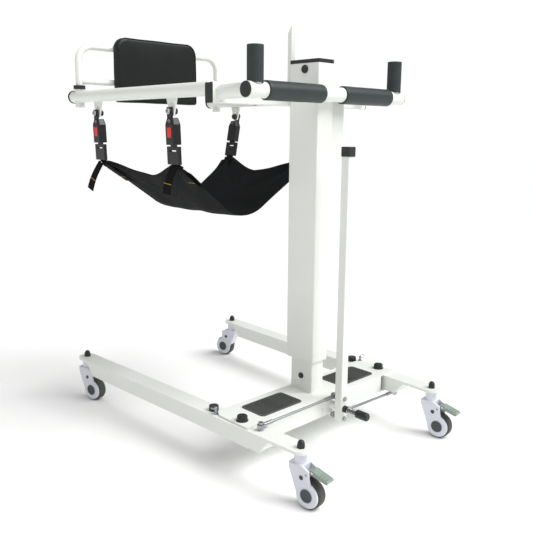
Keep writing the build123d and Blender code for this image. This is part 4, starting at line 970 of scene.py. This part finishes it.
class Trough:
    """The sling's shape: two straight flanks that slope down from the straps and meet in a round
    belly of radius bend. u runs from -1 to 1 across, v from 0 to 1 from front to rear."""

    def __init__(self, sizes):
        low, high = box("seat_sling")
        self.low, self.fold = low, sizes.fold_depth
        half, sag = (high[0] - low[0]) / 2, high[2] - low[2]
        self.middle = (high[0] + low[0]) / 2
        self.bend = sizes.belly_radius
        # the flank's slope is where a line from the strap just touches the belly's circle
        span = math.hypot(half, sag - self.bend)
        self.slope = math.asin(self.bend / span) + math.atan2(sag - self.bend, half)
        self.flank = (half - self.bend * math.sin(self.slope)) / math.cos(self.slope)
        self.hub_z = low[2] + self.bend
        self.long = high[1] - low[1]
        self.across = self.bend * self.slope + self.flank

    def reach(self, v):
        """How far the cloth reaches at v: full at the straps, then nearly straight down to a low
        point halfway, as the side edges hang from strap to strap."""
        t = np.clip(np.abs(2 * v - 1) / 0.8, 0, 1)
        return 0.8 + 0.2 * t**1.35

    def point(self, u, v):
        """A point of the cloth: belly or flank, plus folds that fan from each corner as a cosine
        of the angle round it and die away over a hand's width, plus slack along the belly."""
        u, v = np.broadcast_arrays(np.asarray(u, float), np.asarray(v, float))
        run = self.across * u
        angle = np.clip(run / self.bend, -self.slope, self.slope)
        beyond = run - self.bend * angle
        lift = np.zeros_like(angle)
        fold_reach, seam_reach = 130 * MM, 35 * MM
        for cu in (-1, 1):
            for cv in (0.05, 0.95):
                du = np.abs(u - cu) * self.across
                dv = (v - cv) * self.long * (1 if cv < 0.5 else -1)
                away = np.hypot(du, dv)
                fan = np.arctan2(dv, du + 0.004)
                fade = np.exp(-((away / fold_reach) ** 2)) * np.clip(away / seam_reach, 0, 1)
                lift += self.fold * fade * np.cos(fan * 8 + cu)
        lift += 2.2 * MM * np.sin(v * 9.4 + u * 2.1) * (1 - u**2)
        lift += 0.9 * MM * np.sin(v * 21 - u * 7)
        lift += 7 * MM * np.sin(np.pi * v) * (1 - u**2)
        bend = self.bend - 2 * MM + lift
        inward = 26 * MM * (1 - u**2) ** 0.8
        y = self.low[1] + 1 * MM + (self.long - 2 * MM) * v + inward * (1 - 2 * v)
        x = self.middle + bend * np.sin(angle) + beyond * math.cos(self.slope)
        z = self.hub_z - bend * np.cos(angle) + np.abs(beyond) * math.sin(self.slope)
        return np.stack([x, y, z], -1)

    def frame(self, u, v):
        """Point, outward normal and unit directions along u and v, by central differences."""
        step = 1e-3
        along_u = self.point(u + step, v) - self.point(u - step, v)
        along_v = self.point(u, v + step) - self.point(u, v - step)
        along_u /= np.linalg.norm(along_u, axis=-1, keepdims=True)
        along_v /= np.linalg.norm(along_v, axis=-1, keepdims=True)
        normal = np.cross(along_v, along_u)
        normal /= np.linalg.norm(normal, axis=-1, keepdims=True)
        return self.point(u, v), normal, along_u, along_v


def edge_band(trough, u, v, half_w, half_t):
    """A band laid along a line of the sling, as wide and thick as given, in the cloth's surface."""
    path, normal, _, _ = trough.frame(u, v)
    tangent = np.gradient(path, axis=0)
    tangent /= np.linalg.norm(tangent, axis=1)[:, None]
    wide = np.cross(normal, tangent)
    wide /= np.linalg.norm(wide, axis=1)[:, None]
    return band(path, wide, normal, half_w, half_t)


def bands(parts):
    """Several bands as one set of points, faces and UV."""
    points, faces = joined(*[(p, f) for p, f, _ in parts])
    return points, faces, np.concatenate([uv.reshape(-1, 2) for _, _, uv in parts])


class LIFT_OT_sling(bpy.types.Operator):
    """Seat sling: the hanging cloth, its folded hem and its sewn seams"""

    bl_idname = "lift.sling"
    bl_label = "Seat sling"

    def execute(self, context):
        sizes, finish = context.scene.lift_sizes, finishes()
        trough = Trough(sizes)
        rows, columns = 150, 110
        u, v = np.meshgrid(np.linspace(-1, 1, rows), np.linspace(0, 1, columns), indexing="ij")
        u = u * trough.reach(v)
        points = trough.point(u, v)
        uv = np.stack([u * trough.across, v * trough.long], 2)
        faces = grid_faces(rows, columns)
        cloth = make_piece("sling_cloth", points, faces, "carriage", finish["cloth"],
                           closed=False, uv=uv, smooth=180)
        wall = cloth.modifiers.new("cloth thickness", "SOLIDIFY")
        wall.thickness, wall.offset = sizes.cloth_thickness, 0
        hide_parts("seat_sling")
        half, hem_t = sizes.hem_width / 2, 2.1 * MM
        inset_u, inset_v = half / trough.across, half / trough.long
        run = np.linspace(inset_v * 0.2, 1 - inset_v * 0.2, 120)
        rim = trough.reach(run) - inset_u
        hems = [edge_band(trough, s * rim, run, half, hem_t) for s in (-1, 1)]
        span = np.linspace(-1 + inset_u * 0.2, 1 - inset_u * 0.2, 150)
        for at in (inset_v, 1 - inset_v):
            hems.append(edge_band(trough, span, np.full_like(span, at), half, hem_t))
        points, faces, uv = bands(hems)
        hem = make_piece("sling_hem", points, faces, "carriage", finish["cloth"],
                         uv=uv, smooth=50)
        # a V of sewn seams on each side panel, from both corners down to its middle
        leg = np.linspace(0, 1, 70)
        seams = []
        for s in (-1, 1):
            for front in (0, 1):
                at_u = s * (0.93 - 0.5 * leg)
                at_v = abs(front - (0.07 + 0.43 * leg))
                seams.append(edge_band(trough, at_u, at_v, 2.4 * MM, 2.0 * MM))
        points, faces, uv = bands(seams)
        seam = make_piece("sling_seams", points, faces, "carriage", finish["cloth"],
                          uv=uv, smooth=50)
        straps, threads = self.straps(trough, sizes, finish)
        return {"FINISHED"}

    def straps(self, trough, sizes, finish):
        """Four straps: each comes straight down out of its adapter and then lies on the outside of
        the cloth, its bends eased by averaging neighbours. The left ones have loose tails."""
        half, half_t, proud, laid = sizes.strap_width / 2, 1.3 * MM, 2.9 * MM, 26
        parts, stitches = [], []
        for corner in CORNERS:
            word, end = corner.split("_")
            side = SIDES[word]
            tilt = math.radians(STRAP_LEAN[word])
            button_low, button_high = box(f"{corner}_release_button")
            y = (button_low[1] + button_high[1]) / 2
            at_v = (y - trough.low[1]) / trough.long
            down = np.array([-side * math.sin(tilt), 0, -math.cos(tilt)])
            bolt = np.array([side * HANGER_X, y, HANGER_Z])
            drop = np.linspace(112, 150, 6) * MM
            upper = bolt + drop[:, None] * down
            on_u = side * np.linspace(0.95, 0.66, laid)
            on, normal, _, _ = trough.frame(on_u, np.full(laid, at_v))
            path = np.concatenate([upper, on + normal * proud])
            apart = np.linalg.norm(np.diff(path, axis=0), axis=1) > 1 * MM
            path = path[np.concatenate([[True], apart])]
            smooth = path.copy()
            for _ in range(6):
                smooth[1:-1] = (smooth[:-2] + 2 * smooth[1:-1] + smooth[2:]) / 4
            tangent = np.gradient(smooth, axis=0)
            tangent /= np.linalg.norm(tangent, axis=1)[:, None]
            wide = np.tile([0.0, 1.0, 0.0], (len(smooth), 1))
            out = np.cross(tangent, wide)
            out /= np.linalg.norm(out, axis=1)[:, None]
            out *= np.sign(out[:, :1] * side)
            parts.append(band(smooth, wide, out, half, half_t))
            # rows of stitches, counted back along the strap from its sewn end
            for back in (8, 30) if word == "left" else (8,):
                seat = smooth[-back] + out[-back] * 1.5 * MM
                stitches.append(self.stitch_row(seat, wide[0], out[-back], half * 0.8))
            if word == "left":
                tail, thread = self.tail(smooth[4], side, end)
                parts.append(tail)
                stitches.append(thread)
        points, faces, uv = bands(parts)
        straps = make_piece("sling_straps", points, faces, "carriage", finish["webbing"],
                            uv=uv, smooth=50)
        points, faces = joined(*stitches)
        threads = make_piece("sling_stitching", points, faces, "carriage", finish["thread"],
                             smooth=180)
        return straps, threads

    def stitch_row(self, seat, wide, out, half):
        """One row of stitches: a cord whose height rises and falls as a sine, 4 mm to a stitch."""
        along = np.linspace(-half, half, 161)
        rise = 0.45 * MM * np.sin(along / (4 * MM) * 2 * np.pi)
        path = seat + along[:, None] * wide + rise[:, None] * out
        taper = np.full(len(path), 0.75 * MM)
        taper[[0, -1]] = 0
        return swept_straight(path, taper, wide, out)

    def tail(self, root, side, end):
        """The loose end of a left strap: it hangs down and a little outwards from the adapter,
        bowed by half a sine wave, with one row of stitches across."""
        share = np.linspace(0, 1, 40)
        length_down = 96 * MM if end == "rear" else 78 * MM
        lean = np.array([side * 0.28, 0.32 if end == "rear" else 0.1, -0.93])
        lean /= np.linalg.norm(lean)
        start = root + np.array([side * 5.5 * MM, 0, -12 * MM])
        bow = np.sin(share * np.pi) * 5 * MM
        path = start + (share * length_down)[:, None] * lean + bow[:, None] * np.array([side, 0, 0])
        tangent = np.gradient(path, axis=0)
        tangent /= np.linalg.norm(tangent, axis=1)[:, None]
        wide = np.array([0, 1.0, 0]) - tangent * tangent[:, 1:2]
        wide /= np.linalg.norm(wide, axis=1)[:, None]
        out = np.cross(tangent, wide)
        out *= np.sign(out[:, :1] * side)
        half, thick, row = 19 * MM, 1.3 * MM, 24
        seat = path[row] + out[row] * (thick + 0.3 * MM)
        thread = self.stitch_row(seat, wide[row], out[row], half * 0.95)
        return band(path, wide, out, half, thick), thread


def swept_straight(path, radii, side, up):
    """A round section of given radii carried along a nearly straight path, square to side."""
    angle = np.arange(8) * 2 * np.pi / 8
    across_path = np.cross(side, up)
    section = np.cos(angle)[:, None] * up + np.sin(angle)[:, None] * across_path
    points = path[:, None] + radii[:, None, None] * section[None]
    return points, grid_faces(len(path), 8, wrap_columns=True)


class LIFT_OT_stage(bpy.types.Operator):
    """Pale floor, soft studio lights and the camera"""

    bl_idname = "lift.stage"
    bl_label = "Stage"

    def execute(self, context):
        self.floor()
        self.world()
        self.lights()
        self.camera()
        return {"FINISHED"}

    def floor(self):
        """A large pale plane a hair under the wheels."""
        made, tree, shader, where = start("studio_floor", 0.7)
        grain = add(tree, "ShaderNodeTexNoise", {"Scale": 3.0}, {"Vector": where})
        shade(tree, shader, grain.outputs[0], (linear("#FFFFFF"), linear("#FDFDFC")))
        shader.inputs["Specular IOR Level"].default_value = 0.15
        mesh = bpy.data.meshes.new("studio_floor")
        half, drop = 30.0, -0.6 * MM
        corners = [(x * half, y * half, drop) for x, y in ((-1, -1), (1, -1), (1, 1), (-1, 1))]
        mesh.from_pydata(corners, [], [(0, 1, 2, 3)])
        floor = bpy.data.objects.new("studio_floor", mesh)
        bpy.context.scene.collection.objects.link(floor)
        mesh.materials.append(made)

    def world(self):
        """Soft white surroundings: dim for the object, white behind it."""
        world = bpy.data.worlds.new("studio")
        bpy.context.scene.world = world
        world.use_nodes = True
        tree = world.node_tree
        tree.nodes.clear()
        ray = add(tree, "ShaderNodeLightPath")
        dim = add(tree, "ShaderNodeBackground", {"Color": (1, 1, 1, 1), "Strength": 0.40})
        white = add(tree, "ShaderNodeBackground", {"Color": (1, 1, 1, 1), "Strength": 1.02})
        links = {0: ray.outputs["Is Camera Ray"], 1: dim.outputs[0], 2: white.outputs[0]}
        mix = add(tree, "ShaderNodeMixShader", links=links)
        add(tree, "ShaderNodeOutputWorld", links={"Surface": mix.outputs[0]})
        bpy.context.scene.view_settings.view_transform = "Standard"

    def lights(self):
        """A broad high sun from the carer's right, and two softboxes for the highlights."""
        for name, kind, place, size, power, aim in (
            ("key", "SUN", (1.6, -2.6, 3.4), math.radians(40), 2.8, (0, 0, 0)),
            ("top", "AREA", (-0.6, -1.0, 3.0), 2.6, 22, (0, 0, 0.4)),
            ("fill", "AREA", (-3.0, 1.6, 1.8), 2.0, 3, (0, 0, 0.6)),
        ):
            lamp = bpy.data.lights.new(name, kind)
            lamp.energy = power
            if kind == "SUN":
                lamp.angle = size
            else:
                lamp.shape, lamp.size = "DISK", size
            holder = bpy.data.objects.new(name, lamp)
            holder.location = place
            way = Vector(aim) - Vector(place)
            holder.rotation_mode = "QUATERNION"
            holder.rotation_quaternion = way.to_track_quat("-Z", "Y")
            bpy.context.scene.collection.objects.link(holder)

    def camera(self):
        """Eye height of someone standing at the carer's left, looking slightly down."""
        azimuth, pitch, roll = (math.radians(a) for a in (-43.91, 11.38, -0.41))
        lens = bpy.data.cameras.new("camera")
        lens.lens, lens.sensor_width = 45.37, 36.0
        lens.clip_start, lens.clip_end = 0.05, 100
        camera = bpy.data.objects.new("camera", lens)
        camera.location = (-1.425, -1.534, 0.915)
        look = Vector((-math.sin(azimuth) * math.cos(pitch), math.cos(azimuth) * math.cos(pitch),
                       -math.sin(pitch)))
        turn = Quaternion(look, roll)
        camera.rotation_mode = "QUATERNION"
        camera.rotation_quaternion = turn @ look.to_track_quat("-Z", "Y")
        bpy.context.scene.collection.objects.link(camera)
        bpy.context.scene.camera = camera


STEPS = (
    LIFT_OT_coat,
    LIFT_OT_castors,
    LIFT_OT_fittings,
    LIFT_OT_grips,
    LIFT_OT_treads,
    LIFT_OT_backrest,
    LIFT_OT_sling,
    LIFT_OT_stage,
)


class LIFT_PT_panel(bpy.types.Panel):
    """Every step of the lift, in order."""

    bl_idname = "LIFT_PT_panel"
    bl_label = "Sit to stand lift"
    bl_space_type = "VIEW_3D"
    bl_region_type = "UI"
    bl_category = "Lift"

    def draw(self, context):
        for group in (context.scene.lift_sizes, context.scene.lift_colours):
            box_area = self.layout.box()
            for name in group.__annotations__:
                box_area.prop(group, name)
        for step in STEPS:
            self.layout.operator(step.bl_idname)


CLASSES = (LiftColours, LiftSizes, *STEPS, LIFT_PT_panel)


def register():
    for cls in CLASSES:
        bpy.utils.register_class(cls)
    bpy.types.Scene.lift_colours = PointerProperty(type=LiftColours)
    bpy.types.Scene.lift_sizes = PointerProperty(type=LiftSizes)


def unregister():
    del bpy.types.Scene.lift_sizes
    del bpy.types.Scene.lift_colours
    for cls in reversed(CLASSES):
        bpy.utils.unregister_class(cls)


def main():
    """Build every step."""
    register()
    for step in STEPS:
        group, name = step.bl_idname.split(".")
        getattr(getattr(bpy.ops, group), name)()


if __name__ == "__main__":
    main()
